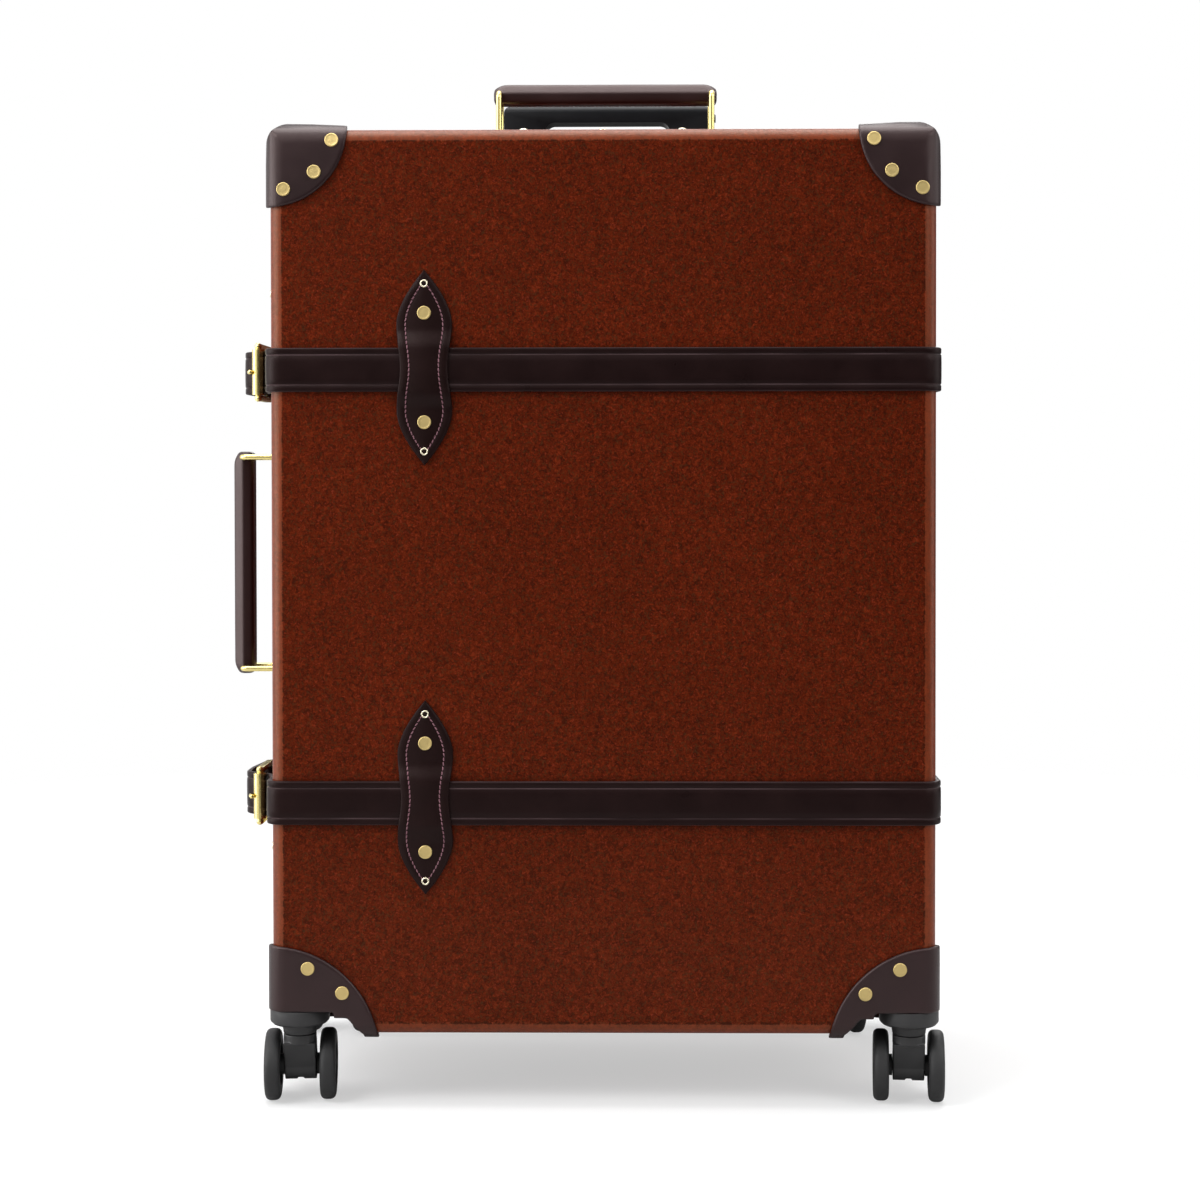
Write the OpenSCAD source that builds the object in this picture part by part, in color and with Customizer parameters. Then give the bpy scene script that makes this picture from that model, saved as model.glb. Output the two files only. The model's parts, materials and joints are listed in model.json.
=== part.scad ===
// Spinner suitcase in the classic trunk style: a fibreboard case in two shells, hinged on its right wall,
// with leather corner caps, two buckled straps, fixed carry handles, a telescopic pull handle and
// four twin-wheel swivel casters. The front faces -Y, the case stands on its wheels, sizes are in mm.

/* [Case] */
// Width of the case without straps or handles
case_w = 502.4; // [440:0.2:540]
// Height of the case without handles or wheels
case_h = 684; // [620:1:740]
// Depth of the case, lid and base together
case_d = 270; // [250:5:300]
// Height of the case's underside above the floor
case_bottom = 56.5; // [55:0.5:66]
// Depth of the hinged front part
lid_d = 108; // [96:2:118]
// Thickness of the fibreboard shells
wall = 3; // [2:0.5:4]
// Radius of all outer edges of the shells
edge_r = 11; // [8:1:14]
// Gap between the two shells
seam_gap = 0.3; // [0.2:0.1:0.6]

/* [Rim frames and lining] */
// Thickness of the aluminium rim frames
frame_t = 4; // [3:0.5:5]
// Depth of each rim frame
frame_w = 16; // [12:1:20]
// How far the rear frame stands into the lid
frame_lip = 5; // [3:1:7]
// Gap between the two frames
frame_gap = 1; // [0.6:0.1:2]
// Thickness of the fabric lining
lining_t = 1.5; // [1:0.5:2.5]
// Gap between the lining and what it covers
lining_gap = 0.3; // [0.2:0.1:0.5]

/* [Corner caps] */
// Thickness of the leather corner caps
cap_t = 3.5; // [3:0.5:5]
// Reach of the upper caps from the corner
cap_reach = 59.5; // [52:0.5:64]
// Reach of the lower caps, measured from their own centre
low_cap_reach = 82.2; // [76:0.2:88]
// Depth of the lower caps' centre under the case's underside
low_cap_drop = 14.2; // [10:0.2:18]

/* [Rivets and screws] */
// Radius of a rivet head
rivet_r = 5.2; // [4.4:0.2:6]
// Height of a rivet head
rivet_h = 1.4; // [1:0.2:2]
// Radius of a rivet's shank
shank_r = 2; // [1.5:0.5:2.5]
// Gap round a shank
shank_gap = 0.1; // [0.05:0.05:0.2]
// Radius of a small screw head
screw_r = 3.2; // [2.6:0.2:3.6]
// Height of a small screw head
screw_h = 1.2; // [1:0.2:2]

/* [Wheel bays] */
// Width of the bay's deep part from the wall
bay_w = 47.5; // [46:0.5:52]
// Height of the bay's ceiling above the underside
bay_h = 18; // [16:0.5:24]
// Width of the bay's shallow step
bay_step_w = 10; // [8:1:12]
// Height of the shallow step above the underside
bay_step_h = 13.5; // [11:0.5:15]
// Width of the slope beside the step
bay_slope_w = 12; // [9:1:14]
// Wall of the bay's liner
bay_wall = 2.5; // [2:0.5:3]

/* [Casters] */
// Distance of the swivel axis from both walls
caster_in = 18.9; // [17:0.1:22]
// Radius of the caster's cup
cup_r = 22.6; // [21:0.2:24]
// Height of the cup's straight side
cup_h = 10; // [8:0.5:12]
// Radius of the swivel stem
stem_r = 5; // [4:0.5:6]
// Running gap round stem and axle
run_gap = 0.06; // [0.04:0.01:0.08]
// Gap between the cup and the fork
swivel_gap = 0.4; // [0.3:0.1:0.6]
// Height of the cup's neck under the case's underside
neck_drop = 2; // [1:0.5:3]
// Distance of the axle behind the swivel axis
trail = 12; // [9:1:14]
// Turn of each caster from straight, as it stands
caster_yaw = 5; // [0:1:8]
// Width of the fork
fork_w = 24; // [22:1:26]
// Radius of the fork's end round the axle
fork_end_r = 11.4; // [10:0.2:12]
// Radius of the fork's top disc
fork_disc_r = 12.5; // [12:0.5:14]
// Height of the fork's top disc
fork_disc_h = 7; // [5:0.5:8]
// Radius of a wheel
wheel_r = 27; // [25:0.5:28]
// Width of a wheel
wheel_w = 12; // [10:1:13]
// Radius of a wheel's shoulder
wheel_shoulder = 3.5; // [2.5:0.5:4]
// Distance between the middles of a caster's two wheels
wheel_gauge = 42; // [40:1:44]
// Radius of the axle
axle_r = 3; // [2.5:0.5:3.5]

/* [Telescopic handle] */
// Distance of the tubes' middle from the back face
trolley_in = 32; // [32:1:38]
// Distance of each tube from the middle
tube_x = 70; // [64:1:74]
// Width of the outer tube
tube_w = 30; // [28:1:32]
// Depth of the outer tube
tube_d = 18; // [17:1:20]
// Wall of the tubes
tube_wall = 1.5; // [1.2:0.1:1.8]
// Sliding gap between the tubes
tube_gap = 0.3; // [0.2:0.1:0.4]
// Height of the grip's top above the case
grip_top = 54; // [48:0.2:58]
// Length of the grip
grip_len = 176; // [172:1:184]
// Height of the grip's bar
grip_bar = 14.6; // [12:0.2:16]
// Width of each of the grip's legs
grip_leg = 35; // [33:1:38]
// Depth of the grip
grip_d = 24; // [22:1:26]
// Height of the plate round the tubes
bezel_t = 3; // [2:0.5:4]
// Travel of each telescopic stage
stage_travel = 160; // [120:5:200]
// Travel of the release button
button_travel = 3; // [2:0.5:4]

/* [Carry handles] */
// Length of a leather grip
handle_len = 180; // [160:2:200]
// Width of a leather grip
handle_w = 22; // [20:1:24]
// Thickness of a leather grip
handle_t = 16; // [14:0.5:18]
// Height of the upper handle above the case
top_handle_h = 54.8; // [50:0.2:60]
// Height of the side handle above the wall
side_handle_h = 50.8; // [48:0.2:60]
// Height of the side handle's middle above the case's middle
side_handle_up = 10.5; // [-6:0.5:14]
// Distance of both carry handles' middle behind the seam
handle_back = 27; // [26:1:34]
// Radius of the handle loops' wire
wire_r = 2.3; // [2:0.1:2.6]
// Bend radius at the middle of the wire
wire_bend = 3.5; // [3:0.5:5]
// Distance of a loop from the grip's end
loop_in = 4.5; // [4:0.5:6]
// Thickness of the plates under the loops
plate_t = 2; // [1.5:0.5:3]

/* [Straps] */
// Width of the straps
strap_w = 33; // [30:0.5:36]
// Thickness of the straps
strap_t = 4; // [3:0.5:4]
// Distance of the upper strap's middle below the case's top
strap_top_in = 181.4; // [174:0.2:188]
// Distance of the lower strap's middle above the case's underside
strap_low_in = 176.4; // [170:0.2:182]
// Half the length of the stretch that bends at the hinges
bridge_half = 22; // [21:1:26]
// Middle of the strap patches, left of the case's middle
patch_x = 134; // [110:1:150]
// Height of the upper patch's middle above its strap's
patch_top_up = 1.6; // [-2:0.2:6]
// Height of the lower patch's middle above its strap's
patch_low_up = 4.2; // [-2:0.2:6]
// Length of a strap patch
patch_len = 146.5; // [140:0.5:152]
// Greatest width of a strap patch
patch_w = 42; // [38:0.5:44]
// Width of a strap patch at its waist
patch_waist = 36; // [32:0.5:38]
// Thickness of a strap patch
patch_t = 2.5; // [2:0.5:3]

/* [Buckles] */
// Radius of the buckle's bars
bar_r = 2.1; // [1.9:0.1:2.3]
// Distance of the pivot bar from the wall
bar_out = 14.3; // [14:0.1:15.5]
// Distance of the pivot bar behind the front face
bar_in = 80; // [78:1:84]
// Distance of the roller bar from the wall
roller_out = 14.3; // [14:0.1:15]
// Distance of the roller bar behind the front face
roller_in = 36; // [34:1:38]
// Thickness of the buckle's side arms
arm_t = 4; // [3:0.5:4]
// Gap between the strap and the side arms
arm_gap = 1.2; // [0.8:0.1:1.6]
// Wall of the roller sleeve
sleeve_t = 2.5; // [2:0.1:2.6]
// Thickness of the strap's free end
tip_t = 3.5; // [3:0.5:4]

/* [Hinges and locks] */
// Length of a hinge
hinge_len = 60; // [50:2:70]
// Distance of the hinge axis from the wall
hinge_out = 6.5; // [6:0.5:8]
// Radius of the hinge barrel
barrel_r = 3.6; // [3.2:0.1:3.8]
// Radius of the hinge pin
pin_r = 1.5; // [1.2:0.1:1.8]
// Thickness of the hinge leaves
leaf_t = 1.5; // [1:0.5:2]
// Width of each hinge leaf
leaf_w = 20; // [18:1:24]
// Distance of the hinges' middle from the case's top and underside
hinge_in = 115; // [100:1:118]
// Distance of the upper lock's middle below the case's top
lock_top_in = 123; // [100:1:128]
// Distance of the lower lock's middle above the case's underside
lock_low_in = 141.5; // [120:0.5:146]
// Height of a lock's plates
lock_w = 28; // [24:1:30]
// Height of a hasp
hasp_w = 18; // [14:1:20]
// Thickness of a hasp
hasp_t = 2; // [1.5:0.5:2.5]
// Thickness of a lock's case
lock_t = 4; // [3.5:0.5:5]
// Travel of a lock's button
lock_travel = 4; // [3:0.5:5]

/* [Hidden] */
$fn = 48;

leather = [0.2, 0.13, 0.13];
board = [0.36, 0.12, 0.07];
brass = [0.8, 0.66, 0.3];
charcoal = [0.18, 0.18, 0.18];
alloy = [0.75, 0.76, 0.78];
cloth = [0.72, 0.64, 0.5];

case_top = case_bottom + case_h;
case_mid = case_bottom + case_h / 2;
seam_y = lid_d - case_d / 2;
far = 2 * (case_w + case_h + case_d);
bay_reach = bay_w + bay_step_w + bay_slope_w;
trolley_y = case_d / 2 - trolley_in;
handle_y = seam_y + handle_back;
side_handle_z = case_mid + side_handle_up;
strap_high_z = case_top - strap_top_in;
strap_low_z = case_bottom + strap_low_in;
lock_high_z = case_top - lock_top_in;
lock_low_z = case_bottom + lock_low_in;
front_y = -case_d / 2;
loop_span = handle_w + 2 * wire_bend;
strap_levels = [strap_low_z, strap_high_z];
patch_ups = [patch_low_up, patch_top_up];
lock_levels = [lock_low_z, lock_high_z];
hinge_levels = [case_bottom + hinge_in, case_mid, case_top - hinge_in];
hinge_x = case_w / 2 + hinge_out;

// The rivets' places on the front and side of a cap, from the corner
cap_rivet_places = [[48.2, 9.4], [34.9, 33.1], [11.9, 46.1]];
low_cap_rivet_places = [[28.2, 51.4], [54.2, 33]];
patch_rivet_place = 0.56 * patch_len / 2;
patch_screw_place = 0.86 * patch_len / 2;

// The model is set with the middle of its outline over the origin
wheel_side = case_w / 2 - caster_in + trail * sin(caster_yaw)
    + (wheel_gauge / 2 + wheel_w / 2 - wheel_shoulder) * cos(caster_yaw)
    + (wheel_r - wheel_shoulder) * sin(caster_yaw) + wheel_shoulder;
right_side = max(wheel_side, hinge_x + barrel_r, case_w / 2 + cap_t + rivet_h);
left_side = case_w / 2 + side_handle_h;
shift_x = (left_side - right_side) / 2;

module placed() {
    translate([shift_x, 0, 0]) children();
}

// Outline helpers

module rounded(w, h, r) {
    square([w - 2 * r, h], center = true);
    square([w, h - 2 * r], center = true);
    for (sx = [-1, 1], sy = [-1, 1])
        translate([sx * (w / 2 - r), sy * (h / 2 - r)]) circle(r);
}

// The whole case as one rounded block, drawn in by e on every side
module case_solid(e) {
    w = case_w - 2 * e;
    h = case_h - 2 * e;
    d = case_d - 2 * e;
    r = max(edge_r - e, 1);
    translate([0, 0, case_mid]) intersection() {
        rotate([90, 0, 0]) linear_extrude(d, center = true) rounded(w, h, r);
        linear_extrude(h, center = true) rounded(w, d, r);
        rotate([90, 0, 90]) linear_extrude(w, center = true) rounded(d, h, r);
    }
}

// What lies between two depths, both measured from the front face
module between(from, to) {
    intersection() {
        children();
        translate([-far / 2, front_y + from, -far / 2]) cube([far, to - from, far]);
    }
}

module lid_part() {
    between(-far / 4, lid_d - seam_gap / 2) children();
}

module base_part() {
    between(lid_d + seam_gap / 2, far / 4) children();
}

// A corner's own axes: x and y run inwards from the walls, z runs inwards from the top or underside
module at_corner(sx, sy, top) {
    mirror([sx > 0 ? 1 : 0, 0, 0]) mirror([0, sy > 0 ? 1 : 0, 0])
        translate([-case_w / 2, -case_d / 2, top ? case_top : case_bottom])
            mirror([0, 0, top ? 1 : 0]) children();
}

// Shells, frames and lining

function bay_outline(e) = [
    [-far / 8, -far / 8], [-far / 8, bay_h + e], [bay_w + e, bay_h + e], [bay_w + e, bay_step_h + e],
    [bay_w + bay_step_w + e, bay_step_h + e], [bay_reach + e, 0], [bay_reach + e, -far / 8]
];

module bay_void(e) {
    intersection() {
        translate([0, bay_reach + e, 0]) rotate([90, 0, 0])
            linear_extrude(bay_reach + e + far / 8) polygon(bay_outline(e));
        translate([-far / 8, 0, 0]) rotate([90, 0, 90])
            linear_extrude(bay_reach + e + far / 8) polygon(bay_outline(e));
    }
}

module bay_voids(sy, e) {
    for (sx = [-1, 1]) at_corner(sx, sy, false) bay_void(e);
}

module rivet_shanks(sy, r) {
    for (sx = [-1, 1], top = [false, true]) at_corner(sx, sy, top)
        cap_rivet_spots(top) translate([0, 0, -cap_t - 2 * wall]) cylinder(r = r, h = 2 * (cap_t + wall));
}

module tube_holes(extra) {
    for (sx = [-1, 1]) translate([sx * tube_x, trolley_y, case_top - 20])
        linear_extrude(40) square([tube_w + 2 * extra, tube_d + 2 * extra], center = true);
}

module front_shell() {
    color(board) difference() {
        lid_part() case_solid(0);
        between(wall, lid_d + 1) case_solid(wall);
        bay_voids(-1, 0);
        rivet_shanks(-1, shank_r + shank_gap);
    }
}

module rear_shell() {
    color(board) difference() {
        base_part() case_solid(0);
        between(lid_d - 1, case_d - wall) case_solid(wall);
        bay_voids(1, 0);
        rivet_shanks(1, shank_r + shank_gap);
        tube_holes(tube_gap);
    }
}

module rim(outset, t, from, to) {
    translate([0, front_y + to, case_mid]) rotate([90, 0, 0]) linear_extrude(to - from) difference() {
        rounded(case_w - 2 * outset, case_h - 2 * outset, edge_r - outset);
        rounded(case_w - 2 * (outset + t), case_h - 2 * (outset + t), max(edge_r - outset - t, 1));
    }
}

// The rear frame's lip stands in the lid's mouth, a little inside the lid's wall
module rear_frame() {
    color(alloy) {
        rim(wall, frame_t, lid_d + seam_gap / 2, lid_d + frame_w);
        rim(wall + frame_gap, frame_t - frame_gap, lid_d - frame_lip, lid_d + seam_gap / 2);
    }
}

module front_frame() {
    to = lid_d - frame_lip - frame_gap;
    color(alloy) rim(wall, frame_t, to - frame_w, to);
}

module front_lining() {
    color(cloth) difference() {
        between(wall + lining_gap, lid_d - frame_lip - frame_gap - frame_w) case_solid(wall + lining_gap);
        case_solid(wall + lining_gap + lining_t);
        bay_voids(-1, bay_wall + lining_gap);
    }
}

// The base's lining stops in front of the telescopic tubes
module rear_lining() {
    from = lid_d + frame_w;
    back = case_d - trolley_in - tube_d / 2 - lining_gap;
    color(cloth) difference() {
        between(from, back) case_solid(wall + lining_gap);
        between(from - 1, back - lining_t) case_solid(wall + lining_gap + lining_t);
        bay_voids(1, bay_wall + lining_gap);
    }
}

module wheel_bays(sy) {
    color(charcoal) difference() {
        intersection() {
            case_solid(wall);
            bay_voids(sy, bay_wall);
        }
        bay_voids(sy, 0);
    }
}

module front_wheel_bays() { wheel_bays(-1); }
module rear_wheel_bays() { wheel_bays(1); }

// Corner caps and rivets

module corner_caps(sy) {
    color(leather) difference() {
        for (sx = [-1, 1], top = [false, true]) intersection() {
            case_solid(-cap_t);
            at_corner(sx, sy, top) translate([0, 0, top ? 0 : -low_cap_drop])
                sphere(r = top ? cap_reach : low_cap_reach, $fn = 96);
        }
        case_solid(0);
        bay_voids(sy, 0);
        rivet_shanks(sy, shank_r + shank_gap);
    }
}

module front_corner_caps() { corner_caps(-1); }
module rear_corner_caps() { corner_caps(1); }

// A place on the face that looks to -y, at a and b from the corner, also where the edge rounds off
module on_face(a, b) {
    out = edge_r + cap_t;
    translate([max(a, edge_r), edge_r, max(b, edge_r)])
        rotate([0, 0, -asin(max(edge_r - a, 0) / out)])
        rotate([asin(max(edge_r - b, 0) / out), 0, 0])
        rotate([90, 0, 0]) translate([0, 0, out]) children();
}

module cap_rivet_spots(top) {
    places = top ? cap_rivet_places : low_cap_rivet_places;
    for (p = places) on_face(p[0], p[1]) children();
    // The side face has the two that are further from the edge
    for (k = [0, 1]) mirror([1, -1, 0]) on_face(places[k][0], places[k][1]) children();
    if (top) mirror([0, 1, -1]) on_face(places[1][0], places[1][1]) children();
}

// The outline of a low domed head, from its rim to its crown
function dome(r, h) = [[r, 0], [r, h * 0.5], [r * 0.8, h * 0.88], [r * 0.4, h], [0, h]];

module rivet(depth) {
    rotate_extrude() polygon(concat([[0, -depth], [shank_r, -depth], [shank_r, 0]], dome(rivet_r, rivet_h)));
}

module domed_head(r, h) {
    rotate_extrude() polygon(concat([[0, 0]], dome(r, h)));
}

module small_screw() {
    domed_head(screw_r, screw_h);
}

// Turns an upright piece to stand out of the front (sy = -1) or back (sy = 1), lift above the shell
module on_wall(sy, x, z, lift) {
    translate([x, sy * (case_d / 2 + lift), z]) rotate([-sy * 90, 0, 0]) children();
}

module rivets(sy) {
    color(brass) {
        for (sx = [-1, 1], top = [false, true]) at_corner(sx, sy, top)
            cap_rivet_spots(top) rivet(cap_t + wall);
        for (i = [0, 1], k = [-1, 1])
            on_wall(sy, -patch_x, strap_levels[i] + patch_ups[i] + k * patch_rivet_place, patch_t)
                domed_head(rivet_r, rivet_h);
    }
}

module front_rivets() { rivets(-1); }
module rear_rivets() { rivets(1); }

module small_screws() {
    color(brass) {
        for (i = [0, 1], k = [-1, 1])
            on_wall(-1, -patch_x, strap_levels[i] + patch_ups[i] + k * patch_screw_place, patch_t)
                small_screw();
        for (x = [-60, 0, 60]) translate([x, front_y + edge_r + screw_r, case_top]) small_screw();
        for (z = lock_levels)
            translate([-case_w / 2, front_y + edge_r + screw_r, z]) rotate([0, -90, 0]) small_screw();
    }
}

// Casters

module caster_cup() {
    chamfer = 2;
    slope = 1.5;
    low = bay_h - cup_h - chamfer;
    rotate_extrude() polygon([[stem_r + run_gap, bay_h], [cup_r, bay_h], [cup_r, low + chamfer],
        [cup_r - chamfer, low], [fork_disc_r + 1, low - slope], [fork_disc_r, -neck_drop],
        [stem_r + run_gap, -neck_drop]]);
}

module caster_cups(sy) {
    color(charcoal) for (sx = [-1, 1]) at_corner(sx, sy, false)
        translate([caster_in, caster_in, 0]) caster_cup();
}

module front_caster_cups() { caster_cups(-1); }
module rear_caster_cups() { caster_cups(1); }

// A caster's own axes: the swivel axis is z, the axle lies behind it at +y, the floor is z = 0
module at_caster(sx, sy) {
    translate([sx * (case_w / 2 - caster_in), sy * (case_d / 2 - caster_in), 0])
        rotate([0, 0, (sy < 0 ? 0 : 180) + sx * sy * caster_yaw]) children();
}

module caster_fork(sx, sy) {
    disc_top = case_bottom - neck_drop - swivel_gap;
    disc_z = disc_top - fork_disc_h;
    notch_w = 4.8;
    notch_h = 2.6;
    color(charcoal) at_caster(sx, sy) {
        translate([0, 0, disc_z]) cylinder(r = fork_disc_r, h = disc_top - disc_z);
        translate([0, 0, disc_top - 1]) cylinder(r = stem_r, h = bay_h + neck_drop);
        difference() {
            translate([-fork_w / 2, 0, 0]) rotate([90, 0, 90]) linear_extrude(fork_w) {
                translate([trail, wheel_r]) circle(fork_end_r);
                polygon([[-fork_disc_r + 1, disc_z + 1], [fork_disc_r - 1, disc_z + 1],
                    [trail + fork_end_r, wheel_r], [trail - fork_end_r, wheel_r]]);
            }
            translate([-notch_w / 2, trail - wheel_r, wheel_r - fork_end_r - 1])
                cube([notch_w, 2 * wheel_r, notch_h + 1]);
        }
        translate([0, trail, wheel_r]) rotate([0, 90, 0])
            cylinder(r = axle_r, h = wheel_gauge + wheel_w - 2, center = true);
    }
}

// A wheel about its own axle, which is z, with the side that looks to the fork at -z
module wheel() {
    hub_r = axle_r + 5;
    inner_z = -(wheel_gauge - fork_w) / 2 + swivel_gap;
    ring_r = wheel_r - 7;
    s = wheel_shoulder;
    rotate_extrude($fn = 64) difference() {
        union() {
            translate([0, inner_z]) square([hub_r, wheel_w / 2 - 1 - inner_z]);
            translate([0, -wheel_w / 4]) square([wheel_r - s, wheel_w / 2]);
            translate([ring_r - 3, -wheel_w / 2]) square([wheel_r - s - ring_r + 3, wheel_w]);
            translate([wheel_r - s - 1, -wheel_w / 2 + s]) square([s + 1, wheel_w - 2 * s]);
            for (k = [-1, 1]) translate([wheel_r - s, k * (wheel_w / 2 - s)]) circle(s, $fn = 32);
        }
        translate([-1, -far]) square([1 + axle_r + run_gap, 2 * far]);
    }
}

module wheel_at(sx, sy, side) {
    color(charcoal) at_caster(sx, sy) translate([side * wheel_gauge / 2, trail, wheel_r])
        rotate([0, side * 90, 0]) wheel();
}

// Telescopic handle

module tube_pair(w, d, t, from, to) {
    for (sx = [-1, 1]) translate([sx * tube_x, trolley_y, from]) linear_extrude(to - from) difference() {
        square([w, d], center = true);
        square([w - 2 * t, d - 2 * t], center = true);
    }
}

foot_top = case_bottom + 34;
middle_w = tube_w - 2 * (tube_wall + tube_gap);
middle_d = tube_d - 2 * (tube_wall + tube_gap);
inner_w = middle_w - 2 * (tube_wall + tube_gap);
inner_d = middle_d - 2 * (tube_wall + tube_gap);
leg_bottom = case_top + bezel_t + 3.5;
pocket = 16;

module trolley_outer_tubes() {
    color(alloy) tube_pair(tube_w, tube_d, tube_wall, foot_top, case_top);
}

module trolley_foot() {
    foot_h = 14;
    front = trolley_y - tube_d / 2;
    color(charcoal) translate([-tube_x - tube_w / 2, front, foot_top - foot_h])
        cube([2 * tube_x + tube_w, case_d / 2 - wall - front, foot_h]);
}

bezel_side = 15;
bezel_end = 8;

module trolley_bezel() {
    color(charcoal) translate([0, trolley_y, case_top]) linear_extrude(bezel_t) difference() {
        rounded(grip_len + 2 * bezel_side, grip_d + 2 * bezel_end, bezel_end);
        for (sx = [-1, 1]) translate([sx * tube_x, 0])
            square([middle_w + 2 * tube_gap, middle_d + 2 * tube_gap], center = true);
    }
}

module trolley_middle_tubes() {
    color(alloy) tube_pair(middle_w, middle_d, tube_wall, foot_top + 4, case_top + bezel_t + 2);
}

module trolley_inner_tubes() {
    color(alloy) tube_pair(inner_w, inner_d, tube_wall, foot_top + 8, leg_bottom + pocket);
}

button_w = 44;
button_d = 13;
button_h = 6;
button_proud = 0.6;
button_gap = 0.3;

module trolley_grip() {
    h = case_top + grip_top - leg_bottom;
    arch_w = grip_len - 2 * grip_leg;
    top = case_top + grip_top;
    knob_r = 3.5;
    color(charcoal) difference() {
        union() {
            intersection() {
                translate([0, trolley_y, leg_bottom + h / 2]) rotate([90, 0, 0])
                    linear_extrude(grip_d, center = true) rounded(grip_len, h, 6);
                translate([0, trolley_y, leg_bottom + h / 2]) rotate([90, 0, 90])
                    linear_extrude(grip_len, center = true) rounded(grip_d, h, 6);
            }
            translate([0, trolley_y, top - grip_bar * 0.67]) rotate([0, 90, 0])
                cylinder(r = knob_r, h = grip_len + 9, center = true);
        }
        translate([0, trolley_y, top - grip_bar - 30]) rotate([90, 0, 0])
            linear_extrude(2 * grip_d, center = true) rounded(arch_w, 60, 8);
        tube_pockets();
        translate([0, trolley_y, top - button_h - button_travel]) linear_extrude(far)
            square([button_w + 2 * button_gap, button_d + 2 * button_gap], center = true);
    }
}

module tube_pockets() {
    for (sx = [-1, 1]) translate([sx * tube_x, trolley_y, leg_bottom - 1]) linear_extrude(pocket + 1)
        square([inner_w + 2 * shank_gap, inner_d + 2 * shank_gap], center = true);
}

module trolley_button() {
    color(alloy) translate([0, trolley_y, case_top + grip_top + button_proud - button_h + 0.3])
        linear_extrude(button_h - 0.3) rounded(button_w, button_d, 3);
}

// Carry handles, drawn along x on a wall at z = 0 with the grip standing above it

module handle_grip(h) {
    mid = h - handle_t / 2;
    translate([0, 0, mid]) difference() {
        intersection() {
            rotate([90, 0, 0]) linear_extrude(handle_w, center = true) rounded(handle_len, handle_t, 5);
            rotate([90, 0, 90]) linear_extrude(handle_len, center = true) rounded(handle_w, handle_t, 6);
        }
        for (sx = [-1, 1]) translate([sx * (handle_len / 2 - loop_in), 0, 0]) rotate([90, 0, 0])
            cylinder(r = wire_r + shank_gap, h = 2 * handle_w, center = true);
    }
}

// One loop of wire: two arms out of the wall, and a bar through the grip
module handle_loop(h) {
    mid = h - handle_t / 2;
    straight = loop_span - 2 * wire_bend;
    rotate([90, 0, 0]) {
        translate([0, mid, 0]) cylinder(r = wire_r, h = straight, center = true);
    }
    for (k = [-1, 1]) {
        translate([0, k * loop_span / 2, plate_t]) cylinder(r = wire_r, h = mid - wire_bend - plate_t);
        translate([0, k * straight / 2, mid - wire_bend]) rotate([0, 0, k * 90]) rotate([90, 0, 0])
            rotate_extrude(angle = 90) translate([wire_bend, 0]) circle(wire_r, $fn = 24);
    }
}

module handle_loops(h) {
    for (sx = [-1, 1]) translate([sx * (handle_len / 2 - loop_in), 0, 0]) handle_loop(h);
}

plate_w = 14;
collar_t = 2;
collar_h = 3;

module handle_plate_pair() {
    for (sx = [-1, 1]) translate([sx * (handle_len / 2 - loop_in), 0, 0]) {
        difference() {
            union() {
                linear_extrude(plate_t) rounded(plate_w, loop_span + plate_w + 2, plate_w / 4);
                for (k = [-1, 1]) translate([0, k * loop_span / 2, 0])
                    cylinder(r = wire_r + collar_t, h = plate_t + collar_h);
            }
            for (k = [-1, 1]) translate([0, k * loop_span / 2, plate_t])
                cylinder(r = wire_r + shank_gap, h = far);
        }
    }
}

module on_top() {
    translate([0, handle_y, case_top]) children();
}

module on_left() {
    translate([-case_w / 2, handle_y, side_handle_z]) rotate([0, -90, 0]) children();
}

module top_handle_grip() { color(leather) on_top() handle_grip(top_handle_h); }
module side_handle_grip() { color(leather) on_left() handle_grip(side_handle_h); }
module top_handle_loops() { color(brass) on_top() handle_loops(top_handle_h); }
module side_handle_loops() { color(brass) on_left() handle_loops(side_handle_h); }

module handle_plates() {
    color(brass) {
        on_top() handle_plate_pair();
        on_left() handle_plate_pair();
    }
}

// Straps, drawn in plan and raised to the strap's width

module strap_loop() {
    difference() {
        rounded(case_w + 2 * strap_t, case_d + 2 * strap_t, edge_r + strap_t);
        rounded(case_w, case_d, edge_r);
    }
}

// A box in plan between two depths behind the front face, on the left (sx = -1) or right
module plan_side(sx, from, to) {
    translate([sx < 0 ? -far : 0, front_y + from]) square([far, to - from]);
}

module raise_straps() {
    for (z = strap_levels) translate([0, 0, z - strap_w / 2]) linear_extrude(strap_w) children();
}

// Points out from the left wall and back from the front face
function left_point(out, back) = [-case_w / 2 - out, front_y + back];

strap_fit = 0.4;
loop_hole = bar_r + 0.3;
loop_r = loop_hole + 3.4;
bar_y = front_y + bar_in;
prong_slot = 9;
prong_slot_gap = 1;
prong_hole_gap = 0.7;
sleeve_r = bar_r + run_gap + sleeve_t;
// Where the front strap's rigid part ends and the rear strap leaves the wall, behind the front face
strap_end_in = 20;
strap_lift_in = 128;
keeper_in = 152;
keeper_len = 10;
keeper_t = 2;

module front_straps() {
    color(leather) raise_straps() intersection() {
        strap_loop();
        union() {
            plan_side(-1, -far / 4, strap_end_in);
            plan_side(1, -far / 4, lid_d - bridge_half);
        }
    }
}

module rear_straps() {
    color(leather) raise_straps() intersection() {
        strap_loop();
        union() {
            plan_side(-1, strap_lift_in, far / 4);
            plan_side(1, lid_d + bridge_half, far / 4);
        }
    }
}

// The rear strap's tab ends in a loop round the buckle's pivot bar
module buckle_tab_plan() {
    difference() {
        union() {
            polygon([left_point(0, strap_lift_in), left_point(strap_t, strap_lift_in),
                left_point(bar_out - loop_hole + 0.2, bar_in), left_point(bar_out - loop_r, bar_in)]);
            translate(left_point(bar_out, bar_in)) circle(loop_r);
        }
        translate(left_point(bar_out, bar_in)) circle(loop_hole);
    }
}

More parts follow.
